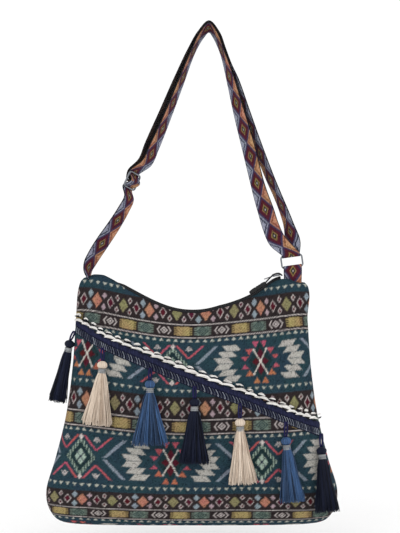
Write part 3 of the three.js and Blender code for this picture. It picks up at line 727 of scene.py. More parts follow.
@dataclass(frozen=True)
class BagSurface:
    """The outer form of the front wall; the back wall is its mirror image.

    Attributes:
        middle_x, base_z: Where the bag's middle lies, and the height of its base.
        half_gap: Half the gap between the two walls at their seam.
        top: Height of the top edge over the base.
        sag, sag_span, sag_power: How far the top edge hangs, over what half width and how pointed.
        sag_from: Height over the base where the hanging starts.
        corner_drop, corner_span: How far the right corner drops, and where, from the bag's middle.
        slack: How far the top edge hangs further than the solid's, at places from the bag's middle.
        lip_gap: Half the gap between the lips for the zip.
        lip_left, lip_right: Where the lips close at each end, from the bag's middle.
        fold_edge, fold_from: How near the seams the folds die out, and the heights where they start.
        corner_fill: How far the upper right corner stands out further than the left one.
        fill_from, fill_edge: Height over the base where it starts to, and how near the seam it does so.
        wall_from: Section row where the wall starts to stand up from the base.
        seam_limit, halvings: How near the seams a place on the front is sought, and in how many steps.
        nudge: Step along the wall for the way out of it.
    """

    middle_x: float = -24.0
    base_z: float = -690.0
    half_gap: float = 0.15
    top: float = 344.0
    sag: float = 49.0
    sag_span: float = 137.0
    sag_power: float = 1.6
    sag_from: float = 130.0
    corner_drop: float = 6.0
    corner_span: Pair = (95.0, 150.0)
    slack: tuple[Pair, ...] = (
        (-160, 5), (-150, 3.5), (-138, -1), (-124, -2.5), (-108, 0), (-90, 3), (-45, 3.5), (0, 3.5),
        (38, 4.5), (59, 7.5), (70, 9), (82, 9.8), (91, 9.5), (100, 7.4), (107, 4.6), (113, 2), (122, 0),
        (131, 0), (145, 3), (155, 5), (160, 6),
    )
    lip_gap: float = 10.5
    lip_left: Pair = (118.0, 136.0)
    lip_right: Pair = (128.0, 142.0)
    fold_edge: float = 8.0
    fold_from: Pair = (4.0, 40.0)
    corner_fill: float = 7.0
    fill_from: float = 290.0
    fill_edge: float = 12.0
    wall_from: int = 3
    seam_limit: float = 0.998
    halvings: int = 40
    nudge: float = 0.002

    def profile(self, share: Array) -> Array:
        """Gives half width, half depth and height at shares of the way up."""
        columns = [Section.HALF_WIDTH.value, Section.HALF_DEPTH.value, Section.HEIGHT.value]
        return SmoothCurve(BODY_SECTIONS[:, columns]).at(share)

    def sag_at(self, across_x: Array, height: Array) -> Array:
        """Gives how far the cloth hangs below its flat height.

        Args:
            across_x: Places from the bag's middle.
            height: Their heights over the base.

        Returns:
            The hang at each place.
        """
        share = np.cos(np.minimum(1, np.abs(across_x) / self.sag_span) * math.pi / 2)
        corner = self.corner_drop * smooth_step(across_x, *self.corner_span)
        places, slack = np.array(self.slack, float).T
        hang = self.sag * np.maximum(0, share) ** self.sag_power
        depth = hang + corner + np.interp(across_x, places, slack)
        return depth * smooth_step(height, self.sag_from, self.top)

    def lip_depth(self, across_x: Array) -> Array:
        """Gives how far the lip stands off the middle plane.

        Args:
            across_x: Places from the bag's middle.

        Returns:
            The distance at each place.
        """
        left = smooth_step(np.abs(across_x), *self.lip_left)
        right = smooth_step(np.abs(across_x), *self.lip_right)
        return self.lip_gap * (1 - np.where(across_x < 0, left, right))

    def lip_z(self, x: Array) -> Array:
        """Gives the height of the top edge at places along the bag."""
        return self.base_z + self.top - self.sag_at(np.asarray(x) - self.middle_x, self.top)

    def point(self, share: Array, across: Array) -> Array:
        """Gives points of the front wall.

        Args:
            share: How far up the section rows, from 0 to 1.
            across: From the left seam at -1 to the right seam at 1.

        Returns:
            One point for each place.
        """
        half_width, half_depth, height = np.moveaxis(self.profile(share), -1, 0)
        last = len(BODY_SECTIONS) - 1
        power = np.interp(share * last, np.arange(last + 1), BODY_SECTIONS[:, Section.SQUARENESS.value])
        across_x = half_width * across
        body = half_depth * np.maximum(0, 1 - np.abs(across) ** power) ** (1 / power)
        lip_share = np.clip(share * last - last + 1, 0, 1)
        depth = body + (np.minimum(body, self.lip_depth(across_x)) - body) * lip_share
        z = self.base_z + height - self.sag_at(across_x, height)
        upper = smooth_step(height, self.fill_from, self.top)
        fill = self.corner_fill * upper * np.maximum(0, across) ** self.fill_edge
        x = self.middle_x + across_x + fill
        start = smooth_step(height, *self.fold_from)
        calm = (1 - np.abs(across) ** self.fold_edge) * start * (1 - lip_share)
        folds = sum(fold.relief(x, z) for fold in FOLDS)
        return np.stack([x, -self.half_gap - depth - folds * calm, z], axis=-1)

    def normal(self, share: Array, across: Array) -> Array:
        """Gives the way out of the front wall.

        Args:
            share: How far up the section rows.
            across: Place between the seams.

        Returns:
            A direction of length one for each place.
        """
        left, right = np.maximum(-1, across - self.nudge), np.minimum(1, across + self.nudge)
        low, high = np.maximum(0, share - self.nudge), np.minimum(1, share + self.nudge)
        wide = self.point(share, right) - self.point(share, left)
        tall = self.point(high, across) - self.point(low, across)
        return unit(np.cross(wide, tall))

    def on_front(self, x: Array, z: Array, lift: Array) -> Array:
        """Gives points over the front wall at places seen from the front.

        Args:
            x: Places along the bag.
            z: Heights.
            lift: How far off the cloth.

        Returns:
            One point for each place.
        """
        x, z, lift = (np.asarray(part, float) for part in np.broadcast_arrays(x, z, lift))
        low = np.full(x.shape, self.wall_from / (len(BODY_SECTIONS) - 1))
        high = np.ones(x.shape)
        for _ in range(self.halvings):
            middle = (low + high) / 2
            below = self.point(middle, self.across_at(x, middle))[..., 2] < z
            low = np.where(below, middle, low)
            high = np.where(below, high, middle)
        across = self.across_at(x, low)
        return self.point(low, across) + lift[..., None] * self.normal(low, across)

    def across_at(self, x: Array, share: Array) -> Array:
        """Gives the place between the seams of a place along the bag."""
        across = (x - self.middle_x) / self.profile(share)[..., 0]
        return np.clip(across, -self.seam_limit, self.seam_limit)


BAG = BagSurface()


# Charted patterns: t runs down the cloth or along the webbing, u across it, in millimetres

# Width over which one yarn gives way to the next, a little over one thread
RIM_MM = 1.1
HATCH_PITCH = 4.4
HATCH_HALF = 0.5
TOOTH_PITCH = 3.6
TOOTH_HALF = 0.8
TOOTH_LENGTH = 4.2
ALL_ACROSS = 1000.0
# Share of its light that a yarn keeps where the dark ground shows through
GROUND_SHARE = 0.45


class Yarn(Enum):
    """Colours of the cloth's and the webbing's yarns."""

    TEAL = "#253A44"
    PINE = "#1D3033"
    BROWN = "#2C2526"
    BLACK = "#1A181B"
    MAROON = "#4C1824"
    WINE = "#45142A"
    BEIGE = "#A9A6A0"
    STEEL = "#7C8590"
    CORAL = "#A8505A"
    ORANGE = "#A8684C"
    PEACH = "#A87560"
    OLIVE = "#7F7A58"
    SKY = "#828E96"
    PINK = "#A08C92"
    GOLD = "#8E7C53"
    STRAW = "#A8966A"
    SAGE = "#647269"
    BLUSH = "#BDB4B1"
    IVORY = "#C6BFB7"
    CREAM = "#AFB0A5"
    NAVY = "#23283C"
    MINT = "#97A99B"
    VIOLET = "#3A3450"
    YELLOW = "#BFA862"
    RUST = "#84543C"
    LILAC = "#8D90A0"
    COPPER = "#B58467"

    def light(self) -> Array:
        """Gives the colour in linear light."""
        return np.array(linear(self.value)[:3])


@dataclass(frozen=True)
class Figure:
    """A figure of the chart in one yarn, about its middle.

    Attributes:
        yarn: Its yarn.
        u, t: Its middle, across and down.
        half_u, half_t: Half its width and half its height.
    """

    yarn: Yarn
    u: float
    t: float
    half_u: float
    half_t: float

    def inside(self, u: Array, t: Array) -> Array:
        """Gives how far inside the figure's rim each place lies.

        Args:
            u: Places across.
            t: Places down.

        Returns:
            Distances, below zero outside it.
        """
        raise NotImplementedError

    def covers(self, u: Array, t: Array) -> Array:
        """Gives the share of the figure's yarn at each place, softened over a thread at the rim."""
        return np.clip(0.5 + self.inside(u, t) / RIM_MM, 0, 1)


class Lozenge(Figure):
    """A diamond that stands on its point."""

    def inside(self, u: Array, t: Array) -> Array:
        """Gives how far inside the diamond each place lies."""
        reach = np.abs(u - self.u) / self.half_u + np.abs(t - self.t) / self.half_t
        return (1 - reach) / math.hypot(1 / self.half_u, 1 / self.half_t)


class Block(Figure):
    """A straight block."""

    def inside(self, u: Array, t: Array) -> Array:
        """Gives how far inside the block each place lies."""
        return np.minimum(self.half_u - np.abs(u - self.u), self.half_t - np.abs(t - self.t))


class Hatch(Block):
    """A block hatched with threads that slant both ways from its middle."""

    def inside(self, u: Array, t: Array) -> Array:
        """Gives how far inside a slanted thread of the block each place lies."""
        slant = np.abs(folded(np.abs(u - self.u) + t, HATCH_PITCH, 0)) / math.sqrt(2)
        return np.minimum(super().inside(u, t), HATCH_HALF - slant)


class Teeth(Lozenge):
    """The rim of a diamond, cut into upright teeth."""

    def inside(self, u: Array, t: Array) -> Array:
        """Gives how far inside a tooth of the rim each place lies."""
        rim, aside = super().inside(u, t), folded(np.abs(u - self.u), TOOTH_PITCH, TOOTH_HALF)
        return np.minimum(np.minimum(rim, TOOTH_LENGTH - rim), TOOTH_HALF - np.abs(aside))


class Wedge(Figure):
    """A triangle with a level base below its tip, or above it if its half height is below zero."""

    def inside(self, u: Array, t: Array) -> Array:
        """Gives how far inside the triangle each place lies.

        Args:
            u: Places across.
            t: Places down.

        Returns:
            Distances, below zero outside it.
        """
        height = 2 * abs(self.half_t)
        share = (t - self.t + self.half_t) / (2 * self.half_t)
        side = (self.half_u * share - np.abs(u - self.u)) * height / math.hypot(height, self.half_u)
        return np.minimum(side, (1 - share) * height)


@dataclass(frozen=True)
class Bar(Figure):
    """A slanted bar with level ends.

    Attributes:
        lean: How far it moves across from its upper end to its lower one.
    """

    lean: float = 0.0

    def inside(self, u: Array, t: Array) -> Array:
        """Gives how far inside the bar each place lies.

        Args:
            u: Places across.
            t: Places down.

        Returns:
            Distances, below zero outside it.
        """
        height = 2 * self.half_t
        middle = self.u + (t - self.t) * self.lean / height
        side = (self.half_u - np.abs(u - middle)) * height / math.hypot(height, self.lean)
        return np.minimum(side, self.half_t - np.abs(t - self.t))


def both_ways(*figures: Figure) -> tuple[Figure, ...]:
    """Adds to the figures their mirror images about the level line through 0.

    Args:
        figures: Lozenges, blocks or bars.

    Returns:
        The figures and then their images.
    """
    images = []
    for one in figures:
        turned = {"lean": -one.lean} if isinstance(one, Bar) else {}
        images.append(replace(one, t=-one.t, **turned))
    return (*figures, *images)


def nest(u: float, *rows: tuple[Yarn, float, float]) -> tuple[Figure, ...]:
    """Gives diamonds that lie one in the other, each with its yarn and half sizes."""
    return tuple(Lozenge(yarn, u, 0, half_u, half_t) for yarn, half_u, half_t in rows)


# Star about its middle, with u folded to one side; the columns and chevrons beside it belong to it
STAR = (
    Lozenge(Yarn.PINE, 0, 0, 17, 27),
    *both_ways(Lozenge(Yarn.MAROON, 0, -9.5, 5.4, 9.6)),
    Lozenge(Yarn.MAROON, 6.4, 0, 5.6, 5.0),
    *both_ways(Bar(Yarn.IVORY, 4.9, -8.8, 0.95, 8.8, -9.8), Lozenge(Yarn.IVORY, 9.4, -16.8, 1.8, 1.8)),
    Lozenge(Yarn.IVORY, 0, 0, 2.0, 2.4),
    Wedge(Yarn.CORAL, 6.1, -24, 4.7, -4.2), Wedge(Yarn.CORAL, 15.2, -14, 5.2, -4.2),
    Wedge(Yarn.CORAL, 21.4, -4.9, 5.2, -2.8), Wedge(Yarn.ORANGE, 5.8, 25.5, 4.7, 4.2),
    Wedge(Yarn.ORANGE, 15.4, 15, 5.2, 4.2), Wedge(Yarn.CORAL, 21.4, 6.4, 5.2, 2.8),
    *both_ways(
        Bar(Yarn.BEIGE, 40, -21.8, 9.8, 4.0, -6.6), Bar(Yarn.BEIGE, 45.5, -13.1, 9.8, 4.0, -6.6),
        Bar(Yarn.BEIGE, 51, -4.4, 9.8, 4.0, -6.6), Bar(Yarn.STEEL, 74, -13.8, 2.8, 12.4, 26),
    ),
)

# Medallion about its middle, with u folded to one side
MEDALLION = (
    Lozenge(Yarn.PINE, 0, 0, 21, 26), Teeth(Yarn.MINT, 0, 0, 21, 26), Lozenge(Yarn.MINT, 0, 0, 8.0, 11.0),
    Block(Yarn.MINT, 0, 0, 5.4, 6.2), *both_ways(Bar(Yarn.NAVY, 3.0, -3.6, 0.8, 3.8, -6.2)),
    Lozenge(Yarn.NAVY, 0, 0, 2.0, 2.4),
    *both_ways(
        Lozenge(Yarn.BLUSH, 0, -26.0, 3.4, 4.2), Bar(Yarn.CORAL, 13, -18.8, 1.7, 9.2, 17),
        Bar(Yarn.CORAL, 31.5, -18.8, 1.7, 9.2, -20), Bar(Yarn.BLUSH, 19.4, -24, 0.6, 2.8, -3.6),
        Bar(Yarn.BLUSH, 24.6, -24, 0.6, 2.8, 3.6), Lozenge(Yarn.BLUSH, 22, -22.6, 2.6, 3.0),
        Lozenge(Yarn.TEAL, 22, -22.6, 1.2, 1.4),
    ),
)

# Row of diamonds about its middle line, with u from an orange diamond
DIAMONDS = (
    Lozenge(Yarn.PEACH, 0, 0, 7.2, 10.6),
    *(Lozenge(Yarn.OLIVE, u, 0, 7.0, 10.4) for u in (40, -40)),
    *(Lozenge(Yarn.BLUSH, u, 0, 5.3, 8.7) for u in (20, -20)),
    *(Lozenge(Yarn.MAROON, u, 0, 4.3, 7.1) for u in (20, -20)),
    *both_ways(
        Lozenge(Yarn.SKY, -10, -8.4, 4.4, 6.0), Lozenge(Yarn.PINK, 10, -8.0, 3.6, 4.8),
        *(Lozenge(Yarn.BLUSH, u, -8.0, 3.2, 4.7) for u in (30, -30)),
        *(Lozenge(Yarn.MAROON, u, -8.0, 2.0, 3.0) for u in (30, -30)),
    ),
)

# Row of blocks about its middle line, with u from a gold block
BLOCKS = (
    Block(Yarn.GOLD, 0, 0, 8.8, 6.4), Hatch(Yarn.STRAW, 0, 0, 8.8, 6.4),
    Block(Yarn.SAGE, 26.7, 0, 8.0, 6.4),
    *both_ways(
        *(Block(Yarn.GOLD, u, t, 2.0, 0.9) for t in (-4.6, -1.5) for u in (-10.4, 10.4)),
        *(Block(Yarn.SAGE, u, t, 2.0, 0.9) for t in (-4.6, -1.5) for u in (17.2, 36.2)),
        Bar(Yarn.BLUSH, -34.4, -2.6, 0.8, 2.8, -3.8), Bar(Yarn.BLUSH, -19.0, -2.6, 0.8, 2.8, 3.8),
    ),
    *nest(26.7, (Yarn.PINE, 8.6, 7.2), (Yarn.SAGE, 6.7, 5.6), (Yarn.PINE, 4.9, 4.1),
          (Yarn.SAGE, 3.1, 2.6), (Yarn.PINE, 1.3, 1.1)),
    *nest(-26.7, (Yarn.BLUSH, 5.6, 5.0), (Yarn.BLACK, 3.8, 3.4), (Yarn.BLUSH, 2.0, 1.8)),
)

# Light line along each side of the band of blocks, between two dark ones
BAND_LINE = (Block(Yarn.BLACK, 0, 0, ALL_ACROSS, 2.3), Block(Yarn.BLUSH, 0, 0, ALL_ACROSS, 0.6))

# One small triangle that points up and one that points down, with u from its middle
SMALL_UP = (Wedge(Yarn.CREAM, 0, 23.4, 3.0, 2.0),)
SMALL_DOWN = (Wedge(Yarn.CREAM, 0, 96.0, 3.0, -2.0),)


def folded(u: Array, pitch: float, start: float) -> Array:
    """Gives the place from the nearest repeat, for repeats at a start and every pitch from it."""
    return np.mod(u - start + pitch / 2, pitch) - pitch / 2


def stitch(colours: Array, figures: tuple[Figure, ...], u: Array, t: Array) -> None:
    """Works figures into a cloth.

    Args:
        colours: The cloth's colours, changed in place.
        figures: The figures, each over those before it.
        u: Place across, for each place of the cloth.
        t: Place down, for each place of the cloth.
    """
    for figure in figures:
        colours += figure.covers(u, t)[..., None] * (figure.yarn.light() - colours)


def fleck(colours: Array, seed: int, spread: float, stray: float) -> Array:
    """Varies the yarn from place to place, as threads cross over and under.

    Args:
        colours: The cloth's colours.
        seed: Seed of the fixed chance.
        spread: How far a place is lighter or darker.
        stray: Share of places where the dark ground shows through.

    Returns:
        The varied colours.
    """
    chance = np.random.default_rng(seed)
    varied = colours * (1 + spread * (chance.random(colours.shape[:-1])[..., None] * 2 - 1))
    through = chance.random(colours.shape[:-1]) < stray
    varied[through] *= GROUND_SHARE
    return varied


@dataclass(frozen=True)
class JacquardChart:
    """The cloth's repeat: bands of blocks, a row of stars and medallions and a row of diamonds.

    Attributes:
        band_top: Height of the upper line of the first band, where the cloth hangs straight.
        wide: Width of the repeat of stars and medallions, which moves half of it from row to row.
        star_u, star_t: Place of a star in the first row.
        small, orange_u, gold_u: Pitch of the diamonds and blocks, and places of an orange and a gold one.
        triangle: Pitch of the small triangles.
        ground_t, diamond_t: Where the dark ground of the diamonds starts, and their middle.
        hang: How far a row's middle hangs at the base, and how much further at the hang height.
        hang_height: Height over the base for that.
        hang_power, hang_round: How fast that grows with the height, and how pointed the hanging part is.
        hang_half: Half the width over which a row hangs.
        right_drop, right_span: How far the rows hang lower on the right, and where that starts and ends.
        low_drop, low_span: The same on the belly, by the depth below the strap's top.
        tuck_from, tuck: Height below which the rows draw together, and by how much.
        stretch, fixed_u: How much wider the figures get down the first repeat, and the place that stays.
        ragged: How far single threads of a figure end beyond its line or short of it.
        overlap: How far a dark ground reaches under its border lines.
        seed: Seed of the fixed chance.
    """

    band_top: float = -394.3
    repeat: float = 135.7
    wide: float = 240.0
    star_u: float = 96.5
    small: float = 80.0
    orange_u: float = 21.0
    gold_u: float = 70.0
    triangle: float = 10.0
    band: float = 19.2
    star_t: float = 59.0
    ground_t: float = 105.0
    diamond_t: float = 119.8
    hang: Pair = (4.0, 20.0)
    hang_height: float = 320.0
    hang_power: float = 1.3
    hang_half: float = 150.0
    hang_round: float = 1.4
    right_drop: float = 6.0
    right_span: Pair = (10.0, 120.0)
    low_drop: float = 4.5
    low_span: Pair = (480.0, 640.0)
    tuck_from: float = -639.0
    tuck: float = 0.35
    stretch: float = 0.028
    fixed_u: float = 120.0
    ragged: float = 0.3
    overlap: float = 1.0
    seed: int = 3

    def drop(self, x: Array, z: Array) -> Array:
        """Gives how far the rows hang below level, most at the middle of the top and on the right.

        Args:
            x: Places along the bag.
            z: Their heights.

        Returns:
            The hang at each place.
        """
        least, more = self.hang
        height = np.clip((z - BAG.base_z) / self.hang_height, 0, None) ** self.hang_power
        aside = np.minimum(1, np.abs(x - BAG.middle_x) / self.hang_half)
        middle = (least + more * height) * np.cos(aside * math.pi / 2) ** self.hang_round
        right = self.right_drop * smooth_step(x, *self.right_span)
        low = self.low_drop * smooth_step(-z, *self.low_span)
        tuck = self.tuck * np.clip(self.tuck_from - z, 0, None)
        return middle + right + low - tuck

    def paint(self, u: Array, v: Array) -> Array:
        """Works the chart over a cloth.

        Args:
            u: Place from the bag's middle, along the weft.
            v: Height along the warp, as hung straight.

        Returns:
            The colour of each place, in linear light.
        """
        chance = np.random.default_rng(self.seed)
        down = self.band_top - v
        row = np.floor(down / self.repeat)
        line_t = down - row * self.repeat
        wider = self.stretch * np.clip(down / self.repeat + 1, 0, None) / 2
        line_u = self.fixed_u + (u - self.fixed_u) * (1 - wider)
        u = line_u + chance.normal(0, self.ragged, u.shape)
        t = line_t + chance.normal(0, self.ragged, u.shape)
        colours = np.empty((*u.shape, 3))
        colours[...] = Yarn.TEAL.light()
        from_star = np.abs(folded(u + np.mod(row, 2) * self.wide / 2, self.wide, self.star_u))
        from_star[row < 0] = ALL_ACROSS
        stitch(colours, STAR, from_star, t - self.star_t)
        stitch(colours, MEDALLION, self.wide / 2 - from_star, t - self.star_t)
        beside = folded(u, self.triangle, 0)
        stitch(colours, SMALL_UP, beside, t)
        stitch(colours, SMALL_DOWN, beside, t)
        lower = (self.repeat - self.ground_t) / 2
        grounds = (Block(Yarn.BROWN, 0, self.band / 2, ALL_ACROSS, self.band / 2 + self.overlap),
                   Block(Yarn.BROWN, 0, self.ground_t + lower, ALL_ACROSS, lower + self.overlap))
        stitch(colours, grounds, np.zeros_like(u), line_t)
        stitch(colours, DIAMONDS, folded(u, self.small, self.orange_u), t - self.diamond_t)
        stitch(colours, BLOCKS, folded(line_u, self.small, self.gold_u), line_t - self.band / 2)
        for line in (0, self.band, self.repeat):
            stitch(colours, BAND_LINE, np.zeros_like(u), line_t - line)
        return colours


class Wall(Enum):
    """The two walls of the bag."""

    FRONT = "front"
    BACK = "back"


@dataclass(frozen=True)
class ClothWall:
    """One jacquard wall of the bag, from the lip at the zip to the seam under the base.

    Attributes:
        columns: Faces across; even, so that one line of vertices lies in the middle.
        hem: How far the edges turn in.
        straight_from: Height over the base above which the rows of the pattern follow the height.
        even_at: How far up the section rows the columns are spaced evenly.
        hang_half: Half width of the wall for the hang of the pattern's rows.
    """

    wall: Wall
    chart: JacquardChart
    columns: int = 328
    rows: int = 292
    hem: float = 2.0
    straight_from: float = 44.0
    even_at: float = 0.7
    hang_half: float = 165.0
    column_samples: int = 4001
    row_samples: int = 2000

    def build(self) -> Object:
        """Lays the cloth over the body and works the chart into it.

        Returns:
            The finished wall.
        """
        sheet = Sheet(f"jacquard_{self.wall.value}", self.columns, self.rows)
        across, share = np.meshgrid(self.column_places(), self.row_shares())
        points = BAG.point(share, across)
        u, v = self.flat_places(points)
        if self.wall is Wall.BACK:
            points = points[:, ::-1] * (1, -1, 1)
        sheet.lay(points)
        sheet.map(np.stack([u, v], axis=-1))
        hang = self.chart.drop(BAG.middle_x + across * self.hang_half, points[..., 2])
        colours = self.chart.paint(u, v + hang)
        sheet.colour(fleck(colours, seed=7, spread=0.2, stray=0.08))
        piece = sheet.finish()
        self.turn_hems(piece)
        settle(piece, JACQUARD_CLOTH, "jacquard_cloth", f"{self.wall.value}_panel")
        return piece

    def column_places(self) -> Array:
        """Spaces the columns evenly along the cloth.

        Returns:
            Their places between the seams, from -1 to 1.
        """
        fine = np.sin(np.linspace(-math.pi / 2, math.pi / 2, self.column_samples))
        run = run_lengths(BAG.point(np.full_like(fine, self.even_at), fine))
        even = (run - run[::-1] + run[-1]) / 2
        return np.interp(np.linspace(0, even[-1], self.columns + 1), even, fine)

    def row_shares(self) -> Array:
        """Spaces the rows evenly along the cloth.

        Returns:
            How far up the section rows each lies, from 0 to 1.
        """
        fine = np.linspace(0, 1, self.row_samples)
        run = run_lengths(BAG.point(fine, np.zeros_like(fine)))
        return np.interp(np.linspace(0, run[-1], self.rows + 1), run, fine)

    def flat_places(self, points: Array) -> tuple[Array, Array]:
        """Gives the place of each vertex along the weft and the warp.

        Args:
            points: Rows x columns of the wall.

        Returns:
            Places from the middle along the weft, and heights as hung straight.
        """
        steps = np.linalg.norm(np.diff(points, axis=1), axis=-1)
        run = np.concatenate([np.zeros((len(points), 1)), np.cumsum(steps, axis=1)], axis=1)
        u = run - run[:, [self.columns // 2]]
        v = points[..., 2].copy()
        first = int(np.argmax(v[:, self.columns // 2] > BAG.base_z + self.straight_from))
        rises = np.linalg.norm(np.diff(points, axis=0), axis=-1)
        for row in range(first - 1, -1, -1):
            v[row] = v[row + 1] - rises[row]
        return u, v

    def turn_hems(self, piece: Object) -> None:
        """Turns the edges of the cloth in, so that its thickness shows.

        Args:
            piece: The wall.
        """
        form = bmesh.new()
        form.from_mesh(piece.data)
        form.normal_update()
        rim = [edge for edge in form.edges if edge.is_boundary]
        turned = bmesh.ops.extrude_edge_only(form, edges=rim)["geom"]
        for vertex in (part for part in turned if isinstance(part, bmesh.types.BMVert)):
            inner = next(edge.other_vert(vertex) for edge in vertex.link_edges
                         if not edge.is_boundary)
            vertex.co = inner.co - inner.normal * self.hem * MM
        form.to_mesh(piece.data)
        form.free()


# The zip, the trim and the tassels

# The tint of a single yarn and the tints of a pair
MIDDLE_TINT = np.array([0.5])
PAIR_TINTS = np.array([0.4, 0.6])
# Share of a turn from one thread to the next that spreads them evenly round a bundle
GOLDEN_TURN = (3 - math.sqrt(5)) / 2


def wrap(name: str, rings: Array, flat: Array | None = None) -> Sheet:
    """Wraps a grid round a row of closed rings.

    Args:
        name: The piece's name.
        rings: Rings x points x 3, in millimetres, with each ring's first point given once.
        flat: Rings x points x 2, the place along and round the surface, if its finish needs it.

    Returns:
        The sheet, laid round the rings and still open at its ends.
    """
    sheet = Sheet(name, rings.shape[1], rings.shape[0] - 1)
    sheet.lay(np.concatenate([rings, rings[:, :1]], axis=1))
    if flat is not None:
        sheet.map(np.concatenate([flat, flat[:, :1]], axis=1))
    return sheet


def run_lengths(points: Array) -> Array:
    """Gives how far along a line of points each one lies."""
    return np.concatenate([[0], np.cumsum(np.linalg.norm(np.diff(points, axis=0), axis=1))])


@dataclass(frozen=True)
class TopZip:
    """The closed zip along the sagging top edge, with its slider, puller, cord and grip.

    Attributes:
        tape, inset: Thickness of the tapes, and how far they lie inside the lips.
        arch: How far the inner edges of the tapes rise.
        coil_pitch: Pitch of the coil's turns, coarser than the real 1.2 mm.
        run_in: Length over which the zip comes out from between the lips at its left end.
        sink: How far that end lies below the lips.
        tape_gap, least_gap: Gaps from the coil to a tape's inner edge, and to its outer one at the ends.
        coil_offset, coil_reach: Middle of each coil from the zip's middle, and half the width of its turns.
        coil_lift, coil_rise: Height of the coils over the tapes' edges, and half the height of their turns.
        cord_route: Middle line of the pull cord, as the solids have it.
        grip_sections: Shares of the way along the grip, with its radius there.
    """

    start: float = -115.0
    end: float = 124.0
    tape: float = 1.0
    inset: float = 2.6
    arch: float = 3.0
    chain_half: float = 2.4
    coil_pitch: float = 1.7
    wire: float = 0.5
    run_in: float = 26.0
    sink: float = 3.0
    tape_steps: int = 160
    tape_faces: int = 4
    tape_gap: float = 0.2
    least_gap: float = 0.3
    coil_steps: int = 9
    coil_sides: int = 4
    coil_offset: float = 0.9
    coil_reach: float = 1.2
    coil_lift: float = 0.2
    coil_rise: float = 0.8
    cord_radius: float = 1.1
    cord_route: tuple[Point, ...] = (
        (102, -6.4, -346.5), (97.5, -8, -343.5), (91, -11.2, -344.5),
        (85, -14.8, -349), (80.5, -17.4, -353.5), (77.2, -18.8, -357),
    )
    cord_steps: int = 40
    cord_sides: int = 12
    grip_end: Point = (56, -20.5, -371)
    grip_sides: int = 20
    grip_steps: int = 60
    grip_sections: tuple[Pair, ...] = (
        (-0.06, 1.2), (-0.04, 2.2), (0.08, 2.9), (0.2, 3.1), (0.27, 2.6), (0.34, 3.2), (0.41, 2.7),
        (0.48, 3.3), (0.55, 2.7), (0.62, 3.3), (0.8, 3.2), (0.95, 2.7), (0.99, 2.2), (1.0, 0.6),
    )

    def build(self) -> None:
        """Makes the tapes, the coil and the pull, and finishes the slider and the puller."""
        for side, word in ((-1, "front"), (1, "back")):
            self.build_tape(side, word)
        self.build_coil()
        self.build_pull()
        for node in ("zip_slider", "zip_puller"):
            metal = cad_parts[node]
            metal.data.materials.clear()
            metal.data.materials.append(material_for(ZIP_METAL))

    def line(self, count: int) -> tuple[Array, Array, Array]:
        """Gives the line of the lips along the zip.

        Args:
            count: Places along it.

        Returns:
            The places, with the lip's depth and height there.
        """
        across = np.linspace(self.start, self.end, count)
        x = BAG.middle_x + across
        return x, BAG.lip_depth(across), BAG.lip_z(x) - self.sink * (1 - self.shown(x))

    def shown(self, x: Array) -> Array:
        """Gives how far the zip has come out from between the lips, from 0 at its left end to 1."""
        return smooth_step(x - BAG.middle_x, self.start, self.start + self.run_in)

    def build_tape(self, side: int, word: str) -> None:
        """Makes one tape, from the lip up to the coil.

        Args:
            side: -1 for the front tape, 1 for the back one.
            word: The wall's word in the names.
        """
        x, depth, z = self.line(self.tape_steps)
        outer = np.maximum(depth - self.inset, self.chain_half + self.least_gap)
        inner = np.full_like(outer, self.chain_half + self.tape_gap)
        climb = np.linspace(0, 1, self.tape_faces + 1)
        shares = np.concatenate([climb, climb[::-1]])
        under = np.repeat([0, 1], len(climb))
        y = side * (outer[:, None] + (inner - outer)[:, None] * shares)
        rise = self.shown(x)[:, None] * self.arch * np.sin(shares * math.pi / 2) - self.tape * under
        along = np.repeat(x[:, None], len(shares), axis=1)
        rings = np.stack([along, y, z[:, None] + rise], axis=-1)
        flat = np.stack([along, y], axis=-1)
        piece = wrap(f"zip_band_{word}", rings, flat).finish(weld_mm=WELD_MM, close_ends=True)
        settle(piece, ZIP_TAPE, "zip_tape", f"zip_tape_{word}")

    def build_coil(self) -> None:
        """Makes the two wound coils that hold each other along the middle."""
        turns = int((self.end - self.start) / self.coil_pitch)
        count = turns * self.coil_steps
        x, _, z = self.line(count)
        angle = np.linspace(0, turns * 2 * math.pi, count)
        paths = []
        for side in (-1, 1):
            phase = angle + side * math.pi / 2
            y = side * (self.coil_offset + self.coil_reach * np.cos(phase))
            rise = self.shown(x) * self.arch + self.coil_lift + self.coil_rise * np.sin(phase)
            paths.append(np.stack([x, y, z + rise], axis=-1))
        coil = threads("zip_coil", np.array(paths), self.wire, PAIR_TINTS, self.coil_sides)
        settle(coil, ZIP_COIL, "zip_chain", "zip_chain")

    def build_pull(self) -> None:
        """Makes the cord that hangs from the puller and the grip at its end."""
        path = SmoothCurve(np.array(self.cord_route)).at(np.linspace(0, 1, self.cord_steps))
        cord = threads("zip_cord", path[None], self.cord_radius, MIDDLE_TINT, self.cord_sides)
        settle(cord, PULL_CORD, "pull_cord", "zip_pull_cord")
        begin = np.array(self.cord_route[-1])
        axis = np.array(self.grip_end) - begin
        shares, radii = np.array(self.grip_sections).T
        fine = np.linspace(shares[0], shares[-1], self.grip_steps)
        grip_path = begin + axis * fine[:, None]
        grip_radii = np.interp(fine, shares, radii)
        rings = tube_rings(grip_path[None], grip_radii[None], self.grip_sides)[0]
        grip = wrap("zip_grip", rings).finish(weld_mm=WELD_MM, close_ends=True)
        settle(grip, PULL_GRIP, "pull_grip", "zip_pull_grip")


